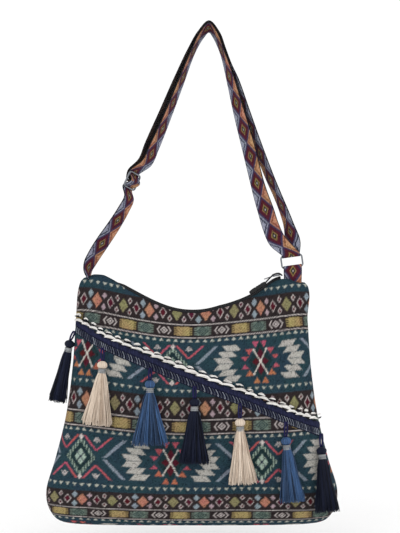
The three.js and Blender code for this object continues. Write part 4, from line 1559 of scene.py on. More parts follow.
@dataclass(frozen=True)
class PuffRow:
    """A row of slanted puffs of loosely twisted yarn along the trim.

    Attributes:
        first, pitch: Place of the first puff's middle along the trim, and from one to the next.
        start, fall: How far below the trim's line a puff starts, and how far it falls from there.
        lift: How far its middle stands off the cloth.
        swell, swell_stray: How far its yarns spread in its middle, and how much that strays.
        seed: Seed of the fixed chance.
        uneven, loose: How far puffs and yarns stray, and the share of that which yarns do across the trim.
        bow: How far its middle bows up the cloth.
        twist: Turn of the yarns from end to end.
        roundness, end_radius: How fast a puff thins to its ends, and the share of a yarn's radius there.
    """

    name: str
    finish: Finish
    first: float
    length: float
    start: float
    fall: float
    lift: float
    swell: float
    yarns: int
    radius: float
    seed: int
    pitch: float = 14.6
    uneven: float = 0.7
    bow: float = 0.0
    steps: int = 9
    twist: float = 2.6
    roundness: float = 0.7
    swell_stray: float = 0.45
    loose: float = 0.4
    end_radius: float = 0.45
    darkest: float = 0.3

    def yarns_along(self, trim: "DiagonalTrim") -> tuple[Array, Array, Array]:
        """Gives the yarns of every puff.

        Args:
            trim: The trim that they lie along.

        Returns:
            Paths, radii and tints of the yarns.
        """
        chance = np.random.default_rng(self.seed)
        total = trim.length()
        middles = np.arange(self.first, total - self.length / 2, self.pitch)
        count = len(middles)
        stray = chance.uniform(-1, 1, (3, count, 1, 1)) * self.uneven
        share = np.linspace(-0.5, 0.5, self.steps)
        bulge = np.cos(share * math.pi) ** self.roundness
        angle = np.arange(self.yarns)[None, :, None] * 2 * math.pi / self.yarns + self.twist * share
        angle = angle + chance.uniform(0, 2 * math.pi, (count, 1, 1))
        spread = self.swell * bulge * (1 + self.swell_stray * stray[2])
        loose = chance.uniform(-1, 1, (2, count, self.yarns, 1)) * self.uneven
        along = middles[:, None, None] + stray[0] + share * self.length + loose[0]
        along = np.clip(along, trim.end_gap, total - trim.end_gap)
        drop = self.start + self.fall * (share + 0.5) - self.bow * np.cos(share * math.pi)
        drop = drop + stray[1] + self.loose * loose[1] + spread * np.cos(angle)
        lift = self.lift + spread * np.sin(angle)
        places = (part.reshape(count * self.yarns, self.steps) for part in (along / total, drop, lift))
        paths = trim.place(*places)
        thick = self.radius * (self.end_radius + (1 - self.end_radius) * bulge)
        tints = self.darkest + (1 - self.darkest) * chance.random(len(paths))
        return paths, np.broadcast_to(thick, paths.shape[:2]), tints


@dataclass(frozen=True)
class DiagonalTrim:
    """The braid that falls across the front: a white cord, a navy ribbon and a looped edging.

    Attributes:
        line: Places of the white cord's middle, as seen from the front.
        ribbon, edging: Where each of them starts and ends below the cord.
        ribbon_lift, edging_lift: How far its edges and its middle stand off the cloth.
        band_ends: Shares of the line where both start and end.
        band_round, underside: How flat their tops are, and how far their undersides lie off the cloth.
        loop_pitch, loop_yarn: Pitch of the edging's loops, and radius of their yarn.
        loop_share: How much of the edging's height the loops take up.
        loop_line: Drop and lift of the line that they are spaced along.
        loop_turn: Start and end of a loop, in half turns.
        loop_slant, loop_open: How far a loop leans for each millimetre down, and half its opening.
        loop_lift: Lift of its middle, and how far it swings from that.
        end_gap: How far from the line's ends its yarns stop.
    """

    line: tuple[Pair, ...] = (
        (-184.3, -404.5), (-141, -429), (-85, -453), (-19, -480), (52, -506), (113, -531), (152, -547),
    )
    rows: tuple[PuffRow, ...] = (
        PuffRow("trim_cord_puffs", WHITE_CORD, 10.0, 19.5, 2.7, -2.4, 4.0, 1.1, 9, 0.85, 31,
                uneven=1.0, bow=2.2),
        # Black picks between the puffs and the tufts: partly black thread, partly painted shadow
        PuffRow("trim_cord_picks_and_painted_shadow", BLACK_PICK_AND_SHADE, 8.0, 10.5, -1.4, -2.4, 4.4, 0.7, 5, 0.7, 32, uneven=0.9),
        # Black yarn under the right half of each puff's arch: painted shade
        PuffRow("trim_cord_painted_shade", BLACK_PICK_AND_SHADE, 14.0, 7.0, 3.2, -1.6, 3.8, 0.6, 4, 0.7, 34, uneven=0.8),
        PuffRow("trim_cord_tufts", WHITE_CORD, 8.5, 8.0, -3.8, -1.4, 4.4, 0.8, 5, 0.65, 33,
                uneven=1.3, bow=0.8),
    )
    ribbon: Pair = (2.0, 10.2)
    ribbon_lift: Pair = (1.1, 2.4)
    edging: Pair = (10.0, 19.6)
    edging_lift: Pair = (0.5, 1.2)
    band_ends: Pair = (0.002, 0.998)
    band_steps: int = 320
    band_faces: int = 8
    band_round: float = 0.5
    underside: float = 0.2
    loop_pitch: float = 4.0
    loop_yarn: float = 0.42
    loop_share: float = 0.78
    loop_line: Pair = (16.0, 1.0)
    loop_ends: Pair = (0.004, 0.985)
    loop_turn: Pair = (-0.5, 0.8)
    loop_steps: int = 11
    loop_slant: float = 0.45
    loop_open: float = 0.9
    loop_lift: Pair = (1.6, 0.5)
    loop_seed: int = 5
    end_gap: float = 0.4
    samples: int = 200
    share_samples: int = 800

    def length(self, drop: float = 0.0, lift: float = 0.0) -> float:
        """Gives the length of a line along the trim, at a drop and a lift."""
        return float(run_lengths(self.place(np.linspace(0, 1, self.samples), drop, lift))[-1])

    def place(self, share: Array, drop: Array, lift: Array) -> Array:
        """Gives points over the cloth beside the cord's line.

        Args:
            share: How far along the line.
            drop: How far below it, square to it.
            lift: How far off the cloth.

        Returns:
            One point for each place.
        """
        curve = SmoothCurve(np.array(self.line))
        x, z = np.moveaxis(curve.at(share), -1, 0)
        slope = np.abs(curve.tangent(share)[..., 0])
        return BAG.on_front(x, z - drop / slope, lift)

    def share_at(self, x: float) -> float:
        """Gives how far along the line a place along the bag lies."""
        shares = np.linspace(0, 1, self.share_samples)
        return float(np.interp(x, SmoothCurve(np.array(self.line)).at(shares)[:, 0], shares))

    def build(self) -> None:
        """Makes the cord, the ribbon and the edging."""
        self.build_cord()
        self.build_band("trim_ribbon_weave", self.ribbon, self.ribbon_lift,
                        NAVY_RIBBON, "trim_navy", "trim_ribbon")
        self.build_band("trim_edging_tape", self.edging, self.edging_lift,
                        EDGING_BASE, "trim_edging", "trim_edging")
        self.build_loops()

    def build_cord(self) -> None:
        """Makes the fluffy cord: white puffs and small white tufts, black picks over its upper side that
        are partly black thread and partly painted shadow between the puffs, and black yarn under the puffs'
        arches that is painted shade.
        """
        nodes = ("trim_cord",)
        for row in self.rows:
            paths, radii, tints = row.yarns_along(self)
            settle(threads(row.name, paths, radii, tints), row.finish, "trim_white", *nodes)
            nodes = ()

    def build_band(self, name: str, span: Pair, lift: Pair,
                   finish: Finish, slot: str, node: str) -> None:
        """Makes one flat band of the trim, thicker in its middle.

        Args:
            name: The piece's name.
            span: Where it starts and ends below the cord.
            lift: How far its edges and its middle stand off the cloth.
            finish: What it is made of.
            slot: The record's material slot.
            node: The CAD node that it replaces.
        """
        low, high = lift
        shares = np.linspace(*self.band_ends, self.band_steps)
        across = np.linspace(0, 1, self.band_faces + 1)
        drops = span[0] + (span[1] - span[0]) * np.concatenate([across, across[::-1]])
        dome = low + (high - low) * np.sin(across * math.pi) ** self.band_round
        lifts = np.concatenate([dome, np.full_like(dome, self.underside)])
        rings = self.place(*np.broadcast_arrays(shares[:, None], drops[None], lifts[None]))
        run = run_lengths(rings[:, self.band_faces // 2])
        flat = np.stack(np.broadcast_arrays(run[:, None], drops[None]), axis=-1)
        piece = wrap(name, rings, flat).finish(weld_mm=WELD_MM, close_ends=True)
        settle(piece, finish, slot, node)

    def build_loops(self) -> None:
        """Makes the slanted loops of yarn along the lower edge."""
        length = self.length(*self.loop_line)
        count = int(length / self.loop_pitch)
        starts = np.linspace(*self.loop_ends, count)[:, None]
        begin, end = self.loop_turn
        angle = np.linspace(begin * math.pi, end * math.pi, self.loop_steps)[None]
        top, bottom = self.edging
        middle = (top + bottom) / 2
        reach = self.loop_share * (bottom - top) / 2
        drop = middle + reach * np.sin(angle)
        slant = (drop - middle) * self.loop_slant + self.loop_open * np.cos(angle)
        share = np.clip(starts + slant / length, 0, 1)
        level, swing = self.loop_lift
        lift = level + swing * np.cos(angle)
        paths = self.place(*np.broadcast_arrays(share, drop, lift))
        tints = np.random.default_rng(self.loop_seed).random(count) ** 2
        loops = threads("trim_edging_loops", paths, self.loop_yarn, tints)
        settle(loops, EDGING_LOOPS, "trim_edging")


class TasselColour(Enum):
    """Thread and material slot of each colour of tassel."""

    NAVY = (NAVY_THREAD, "tassel_navy")
    CREAM = (CREAM_THREAD, "tassel_cream")
    BLUE = (BLUE_THREAD, "tassel_blue")


@dataclass(frozen=True)
class Tassel:
    """One tassel: a ball of wound thread, a wound band, a skirt of loose threads and a loop.

    Attributes:
        lean: Lean of its skirt, in degrees.
        hem_lift, head_lift: How far the hem and the head hang off the cloth.
        beside, beside_y: Whether it hangs beside the bag and not on its front, and where it does so.
        drop, levels: Heights of the hem and of the points along a thread, from the head's middle.
        flare: How the skirt widens and deepens below the neck; straight at 1, earlier below that.
        core: Share of the skirt's section that has no threads.
        sway: How far a thread sways aside, and in how many half waves.
        ragged: How far below the hem and above it a thread may end.
        skirt_threads, skirt_yarn: Threads of the skirt, with their radius at the neck and at the hem.
        locks, lock_share: Locks that the skirt falls into, and how far a thread takes its lock's tint of
            painted sheen or painted shade.
        head_radius, head_height: Half the width and height of the head, to its threads' middles.
        head_threads, head_yarn: Threads over the head, with their radius at the top and what girth adds.
        head_arc: Where they start and end, in degrees from the top.
        band_radius, band_uneven: Radius of the band, how far its rings stray from it and how fast.
        knot: How far below the trim's line the loop starts, and how far off the cloth.
        loop_yarn, loop_half, loop_bow: Radius of the loop's cord, half the gap in it and what its bow adds.
        tint_seed, lock_seed: What the number is added to for the seeds of the tints.
    """

    number: int
    head_x: float
    head_z: float
    lean: float
    hem_width: float
    colour: TasselColour
    hem_lift: float = 12.0
    beside: bool = False
    head_lift: float = 9.0
    beside_y: float = -6.0
    drop: float = 78.0
    levels: tuple[float, ...] = (-7, -12, -17, -23, -31, -43, -56, -69)
    half_depth: float = 9.5
    neck: float = 4.5
    neck_z: float = -11.5
    flare: Pair = (0.9, 0.6)
    core: float = 0.2
    sway: Pair = (0.9, 1.5)
    ragged: Pair = (-5, 3)
    skirt_threads: int = 300
    skirt_yarn: Pair = (0.62, 0.45)
    locks: int = 30
    lock_share: float = 0.8
    head_radius: float = 6.4
    head_height: float = 5.3
    head_threads: int = 44
    head_yarn: Pair = (0.18, 0.5)
    head_arc: Pair = (6, 156)
    head_steps: int = 13
    band_levels: Pair = (-5.6, -10.8)
    band_rings: int = 7
    band_steps: int = 25
    band_radius: float = 4.9
    band_uneven: Pair = (0.2, 2.3)
    band_yarn: float = 0.5
    knot: Pair = (17.0, 4.0)
    loop_yarn: float = 1.25
    loop_half: float = 1.0
    loop_bow: float = 0.9
    loop_gap: float = 0.4
    loop_steps: int = 10
    loop_sides: int = 8
    head_tints: Pair = (0.35, 0.85)
    band_tints: Pair = (0.3, 0.9)
    tint_seed: int = 20
    lock_seed: int = 60

    def hanging(self, x: float, z: float, lift: float) -> Array:
        """Gives the point where the tassel hangs at a place seen from the front.

        Args:
            x: The place along the bag.
            z: Its height.
            lift: How far off the cloth, if it hangs on the front.

        Returns:
            The point.
        """
        if self.beside:
            return np.array([x, self.beside_y, z])
        return BAG.on_front(x, z, 0.0) - (0, lift, 0)

    def frame(self) -> tuple[Array, Array]:
        """Finds how the tassel hangs.

        Returns:
            The middle of its head, and the turn that hangs it along its axis.
        """
        lean = math.radians(self.lean)
        head = self.hanging(self.head_x, self.head_z, self.head_lift)
        hem_x = self.head_x + self.drop * math.sin(lean)
        hem_z = self.head_z - self.drop * math.cos(lean)
        axis = unit(self.hanging(hem_x, hem_z, self.hem_lift) - head)
        turn = Vector((0, 0, -1)).rotation_difference(Vector(axis)).to_matrix()
        return head, np.array(turn)

    def build(self, trim: DiagonalTrim) -> None:
        """Makes the tassel.

        Args:
            trim: The trim that it hangs from.
        """
        head, turn = self.frame()
        finish, slot = self.colour.value
        chance = np.random.default_rng(self.number + self.tint_seed)
        skirt = self.skirt() @ turn.T + head
        radii = np.linspace(*self.skirt_yarn, skirt.shape[1])
        tints = self.lock_tints(chance.random(len(skirt)))
        piece = threads(f"tassel_skirt_{self.number}", skirt, radii, tints)
        settle(piece, finish, slot, f"tassel_{self.number}")
        ball, radii = self.ball()
        tints = chance.uniform(*self.head_tints, len(ball))
        piece = threads(f"tassel_head_{self.number}", ball @ turn.T + head, radii, tints)
        settle(piece, finish, slot)
        rings = self.band() @ turn.T + head
        tints = chance.uniform(*self.band_tints, len(rings))
        piece = threads(f"tassel_winding_{self.number}", rings, self.band_yarn, tints)
        settle(piece, LUREX_THREAD, "tassel_band", f"tassel_band_{self.number}")
        self.build_loop(trim, head - turn @ (0, 0, -1) * (self.head_height + self.loop_gap))

    def build_loop(self, trim: DiagonalTrim, crown: Array) -> None:
        """Makes the loop of cord between the trim and the head.

        Args:
            trim: The trim that it hangs from.
            crown: Where it meets the head.
        """
        knot = trim.place(np.array(trim.share_at(self.head_x)), *self.knot)
        ways = np.array([[1.0, 0, 0], [-1.0, 0, 0]])[:, None]
        shares = np.linspace(0, 1, self.loop_steps)[None, :, None]
        aside = ways * (self.loop_half + self.loop_bow * np.sin(shares * math.pi))
        line = knot + (crown - knot) * shares + aside
        piece = threads(f"tassel_cord_{self.number}", line, self.loop_yarn, PAIR_TINTS, self.loop_sides)
        settle(piece, LOOP_THREAD, "tassel_loop", f"tassel_loop_{self.number}")

    def skirt(self) -> Array:
        """Lays out the loose threads about the tassel's own axis.

        Returns:
            Threads x points x 3.
        """
        chance = np.random.default_rng(self.number)
        count = self.skirt_threads
        angle = np.arange(count)[:, None] * 2 * math.pi * GOLDEN_TURN
        depth = np.sqrt(self.core + (1 - self.core) * chance.random(count))[:, None]
        levels = np.array([*self.levels, -self.drop], float)
        fall = np.clip((levels - self.neck_z) / (-self.drop - self.neck_z), 0, 1)
        reach_x = self.neck + (self.hem_width / 2 - self.neck) * fall ** self.flare[0]
        reach_y = self.neck + (self.half_depth - self.neck) * fall ** self.flare[1]
        far, waves = self.sway
        wave = np.sin(np.linspace(0, 1, len(levels)) * math.pi * waves)
        sway = chance.normal(0, 1, (count, 1)) * wave
        x = np.cos(angle) * depth * reach_x + far * sway
        y = np.sin(angle) * depth * reach_y
        z = np.repeat(levels[None], count, axis=0)
        z[:, -1] += chance.uniform(*self.ragged, count)
        return np.stack([x, y, z], axis=-1)

    def lock_tints(self, own: Array) -> Array:
        """Draws the tints of the skirt's threads towards those of the locks that they lie in.

        Args:
            own: Each thread's own tint, from 0 to 1.

        Returns:
            The tints, lighter and darker by locks: painted sheen and painted shade.
        """
        # Each lock's tint paints sheen or shade over the threads in it
        lock = (np.mod(np.arange(len(own)) * GOLDEN_TURN, 1) * self.locks).astype(int)
        tint = np.random.default_rng(self.number + self.lock_seed).random(self.locks)
        return own + self.lock_share * (tint[lock] - own)

    def ball(self) -> tuple[Array, Array]:
        """Lays out the threads wound over the head.

        Returns:
            Threads x points x 3, and the radii along them.
        """
        angle = np.arange(self.head_threads)[:, None] * 2 * math.pi / self.head_threads
        polar = np.radians(np.linspace(*self.head_arc, self.head_steps))[None]
        reach = self.head_radius * np.sin(polar)
        z = np.broadcast_to(self.head_height * np.cos(polar), (self.head_threads, self.head_steps))
        paths = np.stack([np.cos(angle) * reach, np.sin(angle) * reach, z], axis=-1)
        thin, more = self.head_yarn
        return paths, thin + more * np.sin(polar)

    def band(self) -> Array:
        """Lays out the wound rings of the band.

        Returns:
            Rings x points x 3.
        """
        levels = np.linspace(*self.band_levels, self.band_rings)[:, None]
        angle = np.linspace(0, 2 * math.pi, self.band_steps)[None]
        far, fast = self.band_uneven
        reach = self.band_radius + far * np.cos(levels * fast)
        z = np.broadcast_to(levels, (self.band_rings, self.band_steps))
        return np.stack([reach * np.cos(angle), reach * np.sin(angle), z], axis=-1)


TASSELS = (
    Tassel(1, -194.5, -442, -12.5, 24, TasselColour.NAVY, beside=True),
    Tassel(2, -146, -468.5, -4.5, 41, TasselColour.CREAM),
    Tassel(3, -80.5, -494, 0, 49, TasselColour.BLUE),
    Tassel(4, -20, -518, -0.5, 40, TasselColour.NAVY),
    Tassel(5, 41.5, -545, 2, 37, TasselColour.CREAM),
    Tassel(6, 104, -570.5, 6, 34, TasselColour.BLUE),
    Tassel(7, 154, -586.5, 4, 32, TasselColour.NAVY, hem_lift=19.0),
)


# The strap and its fittings

# Place and turn of the webbing along each run; turn 0 shows its face to the front
SINGLE_RUN = (
    (-168, -352, 90), (-169.5, -340, 70), (-167, -330, 56), (-160.5, -318, 50),
    (-149, -300, 47), (-134, -278, 51), (-120, -255, 57), (-112, -238, 61),
)
DOUBLE_RUN = (
    (-89, -188, 60), (-79, -166, 62), (-60, -121, 70), (-42, -76, 75), (-24, -32, 81),
    (-12, -10, 77), (0, 2.1, 70), (10.5, -10, 77), (19.5, -32, 80), (26.5, -54, 74),
)
FRONT_RUN = (
    (32.5, -76, 67), (44, -121, 56), (56, -166, 48), (67, -211, 47),
    (73, -233, 41), (80, -255, 31), (87, -278, 25), (96, -298, 15),
)
BACK_RUN = (
    (35.5, -76, 68), (51, -121, 66), (67, -166, 66), (84.5, -211, 68),
    (94, -233, 70), (103, -255, 68), (111, -278, 60), (116, -300, 33),
)
# Stations of a half turn round a bar
TURN_STATIONS = 5


@dataclass(frozen=True)
class Station:
    """A place that the webbing passes.

    Attributes:
        point: Where its middle lies.
        wide: Direction of its width there.
    """

    point: Array
    wide: Array


def webbing_frame(tangent: Array, turn: float) -> tuple[Array, Array]:
    """Gives the way the webbing faces and the direction of its width.

    Args:
        tangent: The way that it runs.
        turn: Its turn about that, in degrees.

    Returns:
        The facing and the width, each of length one.
    """
    angle = math.radians(turn)
    face = np.array([tangent[2], 0, -tangent[0]]) * math.sin(angle) - np.array([0, math.cos(angle), 0])
    return face, np.cross(tangent, face)


def run_stations(rows: tuple[Point, ...], offset: float | Array) -> list[Station]:
    """Gives the stations of a run, moved along the webbing's facing.

    Args:
        rows: Place and turn of the webbing along the run.
        offset: How far they move, as one value or one for each.

    Returns:
        One station for each row.
    """
    offsets = np.broadcast_to(offset, len(rows))
    stations = []
    for place, (x, z, turn) in enumerate(rows):
        before = rows[max(0, place - 1)]
        after = rows[min(len(rows) - 1, place + 1)]
        tangent = unit(np.array([after[0] - before[0], 0, after[1] - before[1]]))
        face, wide = webbing_frame(tangent, turn)
        stations.append(Station(np.array([x, 0, z]) + face * offsets[place], wide))
    return stations


def half_turn(
    bar: Array, start: Array, under: Array, radius: float, wide: Array
) -> list[Station]:
    """Gives the stations of half a turn round a bar.

    Args:
        bar: Middle of the bar.
        start: The side on which the turn starts.
        under: The way that it passes the bar.
        radius: Radius of the turn.
        wide: Direction of the webbing's width.

    Returns:
        Stations evenly round it.
    """
    angles = np.linspace(0, math.pi, TURN_STATIONS)
    return [Station(bar + radius * (start * math.cos(a) + under * math.sin(a)), wide) for a in angles]


@dataclass(frozen=True)
class WireFitting:
    """A fitting bent from round wire, flat in the plane of its two directions.

    Attributes:
        bar, up: Direction of its bars, and the one square to them.
        width, height: Width and height between the middles of its outer bars.
        corner, wire: Radius of its corners, and of the wire.
    """

    middle: Array
    bar: Array
    up: Array
    width: float
    height: float
    corner: float
    wire: float
    sides: int = 14
    corner_steps: int = 7

    def outline(self) -> Array:
        """Lays out the middle line of the wire.

        Returns:
            Its points, the first one again at the end.
        """
        points = []
        for quarter in range(4):
            side = 1 if quarter in (0, 3) else -1
            level = 1 if quarter in (0, 1) else -1
            for angle in np.linspace(0, math.pi / 2, self.corner_steps) + quarter * math.pi / 2:
                along = side * (self.width / 2 - self.corner) + self.corner * math.cos(angle)
                rise = level * (self.height / 2 - self.corner) + self.corner * math.sin(angle)
                points.append(self.middle + along * self.bar + rise * self.up)
        points.append(points[0])
        return np.array(points)

    def build(self, name: str, node: str, middle_bar: bool) -> None:
        """Makes the fitting.

        Args:
            name: The piece's name.
            node: The CAD node that it replaces.
            middle_bar: Whether a bar crosses its middle.
        """
        outline = self.outline()
        looped = np.concatenate([outline[-2:-1], outline, outline[1:2]])
        rings = tube_rings(looped[None], np.full((1, len(looped)), self.wire), self.sides)[0, 1:-1]
        piece = wrap(name, rings).finish(weld_mm=WELD_MM, close_ends=True)
        if middle_bar:
            axes = zip(self.up, np.cross(self.bar, self.up), self.bar, self.middle * MM)
            place = Matrix((*axes, (0, 0, 0, 1)))
            form = bmesh.new()
            form.from_mesh(piece.data)
            bmesh.ops.create_cone(
                form, cap_ends=True, segments=self.sides, radius1=self.wire * MM, radius2=self.wire * MM,
                depth=self.width * MM, matrix=place,
            )
            form.to_mesh(piece.data)
            form.free()
            piece.data.shade_smooth()
        settle(piece, STRAP_METAL, "strap_metal", node)


# Webbing pattern about the middle of a diamond, with u across the webbing and t along it
WEBBING_FIGURES = nest(
    0, (Yarn.VIOLET, 14.0, 21.0), (Yarn.WINE, 11.0, 16.6), (Yarn.MAROON, 9.4, 14.2),
    (Yarn.YELLOW, 4.6, 7.2), (Yarn.BLACK, 3.9, 6.2), (Yarn.BLUSH, 0.9, 1.4),
)


@dataclass(frozen=True)
class Webbing:
    """A length of patterned webbing through stations.

    Attributes:
        stations: What it passes.
        flips: Stations between which its pattern is turned side for side.
        turned: Stations between which its other side shows the pattern.
        step: Spacing of its faces along it.
        pitch, phase: Pitch of its pattern, and place of a diamond's middle along it.
        navy_line, rust_line: Where the line beside the diamonds lies, as shares of the outer diamond.
        reverse: How much of the colours shows on the dark reverse.
    """

    name: str
    node: str
    stations: tuple[Station, ...]
    flips: tuple[Pair, ...] = ()
    turned: Pair = (math.inf, math.inf)
    width: float = 25.0
    thickness: float = 1.4
    step: float = 1.3
    faces: int = 22
    pitch: float = 38.75
    phase: float = 17.2
    selvedge: float = 0.9
    navy_line: Pair = (1.14, 1.3)
    rust_line: Pair = (1.1, 1.3)
    reverse: float = 0.1
    samples: int = 60

    def build(self) -> None:
        """Makes the webbing and works its pattern into it."""
        middles = SmoothCurve(np.array([station.point for station in self.stations]))
        wides = SmoothCurve(np.array([station.wide for station in self.stations]), Spacing.EVEN)
        fine = np.linspace(0, 1, self.samples * len(self.stations))
        run = run_lengths(middles.at(fine))
        shares = np.interp(np.arange(0, run[-1], self.step), run, fine)
        wide = unit(wides.at(shares))
        thick = unit(np.cross(middles.tangent(shares), wide))
        across = np.linspace(-1, 1, self.faces + 1)
        across = np.concatenate([across, across[::-1]])
        through = np.repeat([-1.0, 1.0], self.faces + 1)
        rings = (middles.at(shares)[:, None] + across[:, None] * wide[:, None] * self.width / 2
                 + through[:, None] * thick[:, None] * self.thickness / 2)
        along = np.interp(shares, fine, run)[:, None] + 0 * across
        flat = np.stack(np.broadcast_arrays(along, across * self.width / 2), axis=-1)
        place = shares[:, None] * (len(self.stations) - 1) + 0 * across
        colours = self.paint(along, flat[..., 1], place, np.broadcast_to(through, along.shape))
        sheet = wrap(self.name, rings, flat)
        colours = fleck(colours, seed=11, spread=0.16, stray=0.06)
        sheet.colour(np.concatenate([colours, colours[:, :1]], axis=1))
        piece = sheet.finish(weld_mm=WELD_MM, close_ends=True)
        settle(piece, JACQUARD_WEBBING, "webbing", self.node)
        LOG.info("%s: %.0f mm long", self.name, run[-1])

    def paint(
        self, along: Array, across: Array, place: Array, through: Array
    ) -> Array:
        """Works the pattern over both sides of the webbing.

        Args:
            along: Place along the webbing.
            across: Place across it.
            place: Which station is passed there.
            through: -1 on its first side and 1 on its other side.

        Returns:
            The colour of each place, in linear light.
        """
        turned = (place >= self.turned[0]) & (place < self.turned[1])
        w = across.copy()
        for start, end in self.flips:
            w = np.where((place >= start) & (place < end), -w, w)
        q = folded(along, self.pitch, self.phase)
        reach = np.abs(w) / WEBBING_FIGURES[0].half_u + np.abs(q) / WEBBING_FIGURES[0].half_t
        colours = np.empty((*along.shape, 3))
        for side, ground, line, (start, end) in (
            (w >= 0, Yarn.LILAC, Yarn.NAVY, self.navy_line),
            (w < 0, Yarn.COPPER, Yarn.RUST, self.rust_line),
        ):
            colours[side] = ground.light()
            colours[side & (reach > start) & (reach < end)] = line.light()
        stitch(colours, WEBBING_FIGURES, w, q)
        shown = np.where(turned, through > 0, through < 0)
        black = Yarn.BLACK.light()
        colours = np.where(shown[..., None], colours, black + self.reverse * colours)
        colours[np.abs(across) > self.width / 2 - self.selvedge] = black
        return colours


@dataclass(frozen=True)
class ShoulderStrap:
    """The adjustable strap: webbing, a wire slider, a wire ring and the tab that holds the ring.

    Attributes:
        webbing, gap: Thickness of the webbing, and the gap between its two layers.
        clearance: Gap between the webbing and the fittings.
        ring_middle, ring_lean: Middle of the ring, and its lean in degrees.
        slider_middle, slider_turn: Middle of the slider, and its turn in degrees, as the webbing's.
        slider_width, slider_pitch: Width of its windows, and distance from bar to bar.
        spread: Share of the layers' spread at each place from the slider up.
        foot_sink, feet: How far the tab's ends lie below the lips, with their gaps and heights.
    """

    webbing: float = 1.4
    gap: float = 1.4
    clearance: float = 0.7
    ring_middle: Point = (116, 0, -326.5)
    ring_lean: float = 8.0
    ring_width: float = 27.0
    ring_height: float = 15.0
    ring_wire: float = 2.4
    ring_corner: float = 4.2
    slider_middle: Point = (-107.5, 0, -214)
    slider_turn: float = 62.0
    slider_width: float = 27.0
    slider_pitch: float = 11.0
    slider_wire: float = 2.6
    slider_corner: float = 4.0
    spread: tuple[float, ...] = (0.6, 1.0, 1.0, 0.75, 0.35)
    spread_front: float = 1.5
    spread_back: float = 4.0
    foot_sink: float = 3.0
    feet: tuple[Pair, ...] = ((1.8, 0), (3.2, 9))

    def ring_directions(self) -> tuple[Array, Array]:
        """Gives the direction of the ring's bars and the one square to them."""
        lean = math.radians(self.ring_lean)
        return np.array([math.cos(lean), 0, math.sin(lean)]), np.array([-math.sin(lean), 0, math.cos(lean)])

    def ring_turn(self, side: int, wide: Array) -> list[Station]:
        """Gives the webbing's turn round a bar of the ring.

        Args:
            side: 1 for the upper bar, -1 for the lower one.
            wide: Direction of the webbing's width.

        Returns:
            Its stations, from the front to the back.
        """
        _, up = self.ring_directions()
        bar = np.array(self.ring_middle) + up * side * (self.ring_height + self.ring_wire) / 2
        radius = self.ring_wire / 2 + self.clearance + self.webbing / 2
        return half_turn(bar, np.array([0, -1, 0]), -side * up, radius, wide)

    def slider_directions(self) -> tuple[Array, Array, Array]:
        """Finds how the slider lies along the strap.

        Returns:
            Its way up, its facing and the direction of its bars.
        """
        last, first = SINGLE_RUN[-1], DOUBLE_RUN[0]
        up = unit(np.array([first[0] - last[0], 0, first[1] - last[1]]))
        face, wide = webbing_frame(up, self.slider_turn)
        return up, face, wide

    def build(self) -> None:
        """Makes the strap, the slider, the ring and the tab."""
        bar, up = self.ring_directions()
        slider_up, face, wide = self.slider_directions()
        middle = np.array(self.slider_middle)
        pitch = self.webbing + self.gap
        under = self.slider_wire / 2 + self.clearance + self.webbing / 2

        def beside_slider(along: float, out: float) -> Station:
            """Gives a station at the slider."""
            return Station(middle + slider_up * along + face * out, wide)

        shares = np.zeros(len(DOUBLE_RUN) + len(FRONT_RUN))
        shares[:len(self.spread)] = self.spread
        single = run_stations(SINGLE_RUN, 0)
        threaded = [beside_slider(-self.slider_pitch, -under), beside_slider(0, under + pitch),
                    beside_slider(self.slider_pitch, -under)]
        outward = run_stations(DOUBLE_RUN + FRONT_RUN, pitch / 2 + self.spread_front * shares)
        turn = self.ring_turn(1, -bar)
        back = run_stations(DOUBLE_RUN + BACK_RUN, -pitch / 2 - self.spread_back * shares)[::-1]
        end = [beside_slider(self.slider_pitch, -under - pitch),
               *half_turn(middle, -face, -slider_up, under, wide)]
        slider_place = len(single) + len(threaded) // 2
        turn_place = len(single) + len(threaded) + len(outward)
        ring_place = turn_place + len(turn) // 2
        merge_place = turn_place + len(turn) + len(BACK_RUN)
        Webbing(
            "strap_webbing", "shoulder_strap", (*single, *threaded, *outward, *turn, *back, *end),
            flips=((0, slider_place), (ring_place, merge_place)), turned=(ring_place, merge_place),
        ).build()
        WireFitting(
            middle, wide, slider_up, self.slider_width + self.slider_wire, 2 * self.slider_pitch,
            self.slider_corner, self.slider_wire / 2,
        ).build("strap_slider_wire", "strap_slider", middle_bar=True)
        WireFitting(
            np.array(self.ring_middle), bar, up, self.ring_width + self.ring_wire,
            self.ring_height + self.ring_wire, self.ring_corner, self.ring_wire / 2,
        ).build("strap_ring_wire", "strap_ring", middle_bar=False)
        self.build_tab(bar, up)

    def build_tab(self, bar: Array, up: Array) -> None:
        """Makes the tab that folds over the ring's lower bar.

        Args:
            bar: Direction of the ring's bars.
            up: Direction square to them.
        """
        x = self.ring_middle[0] - up[0] * (self.ring_height + self.ring_wire) / 2
        reach = np.array([-1, 1]) * self.ring_width / 2
        left_z, right_z = BAG.lip_z(x + reach)
        edge = unit(np.array([2 * reach[1], 0, right_z - left_z]))
        foot_z = (left_z + right_z) / 2 - self.foot_sink
        front = [Station(np.array([x, -gap, foot_z + lift]), edge) for gap, lift in self.feet]
        back = [Station(np.array([x, gap, foot_z + lift]), edge) for gap, lift in self.feet]
        stations = (*front, *self.ring_turn(-1, bar), *back[::-1])
        Webbing("ring_tab_webbing", "ring_tab", stations, flips=((0, len(stations)),), step=0.8).build()


# The studio


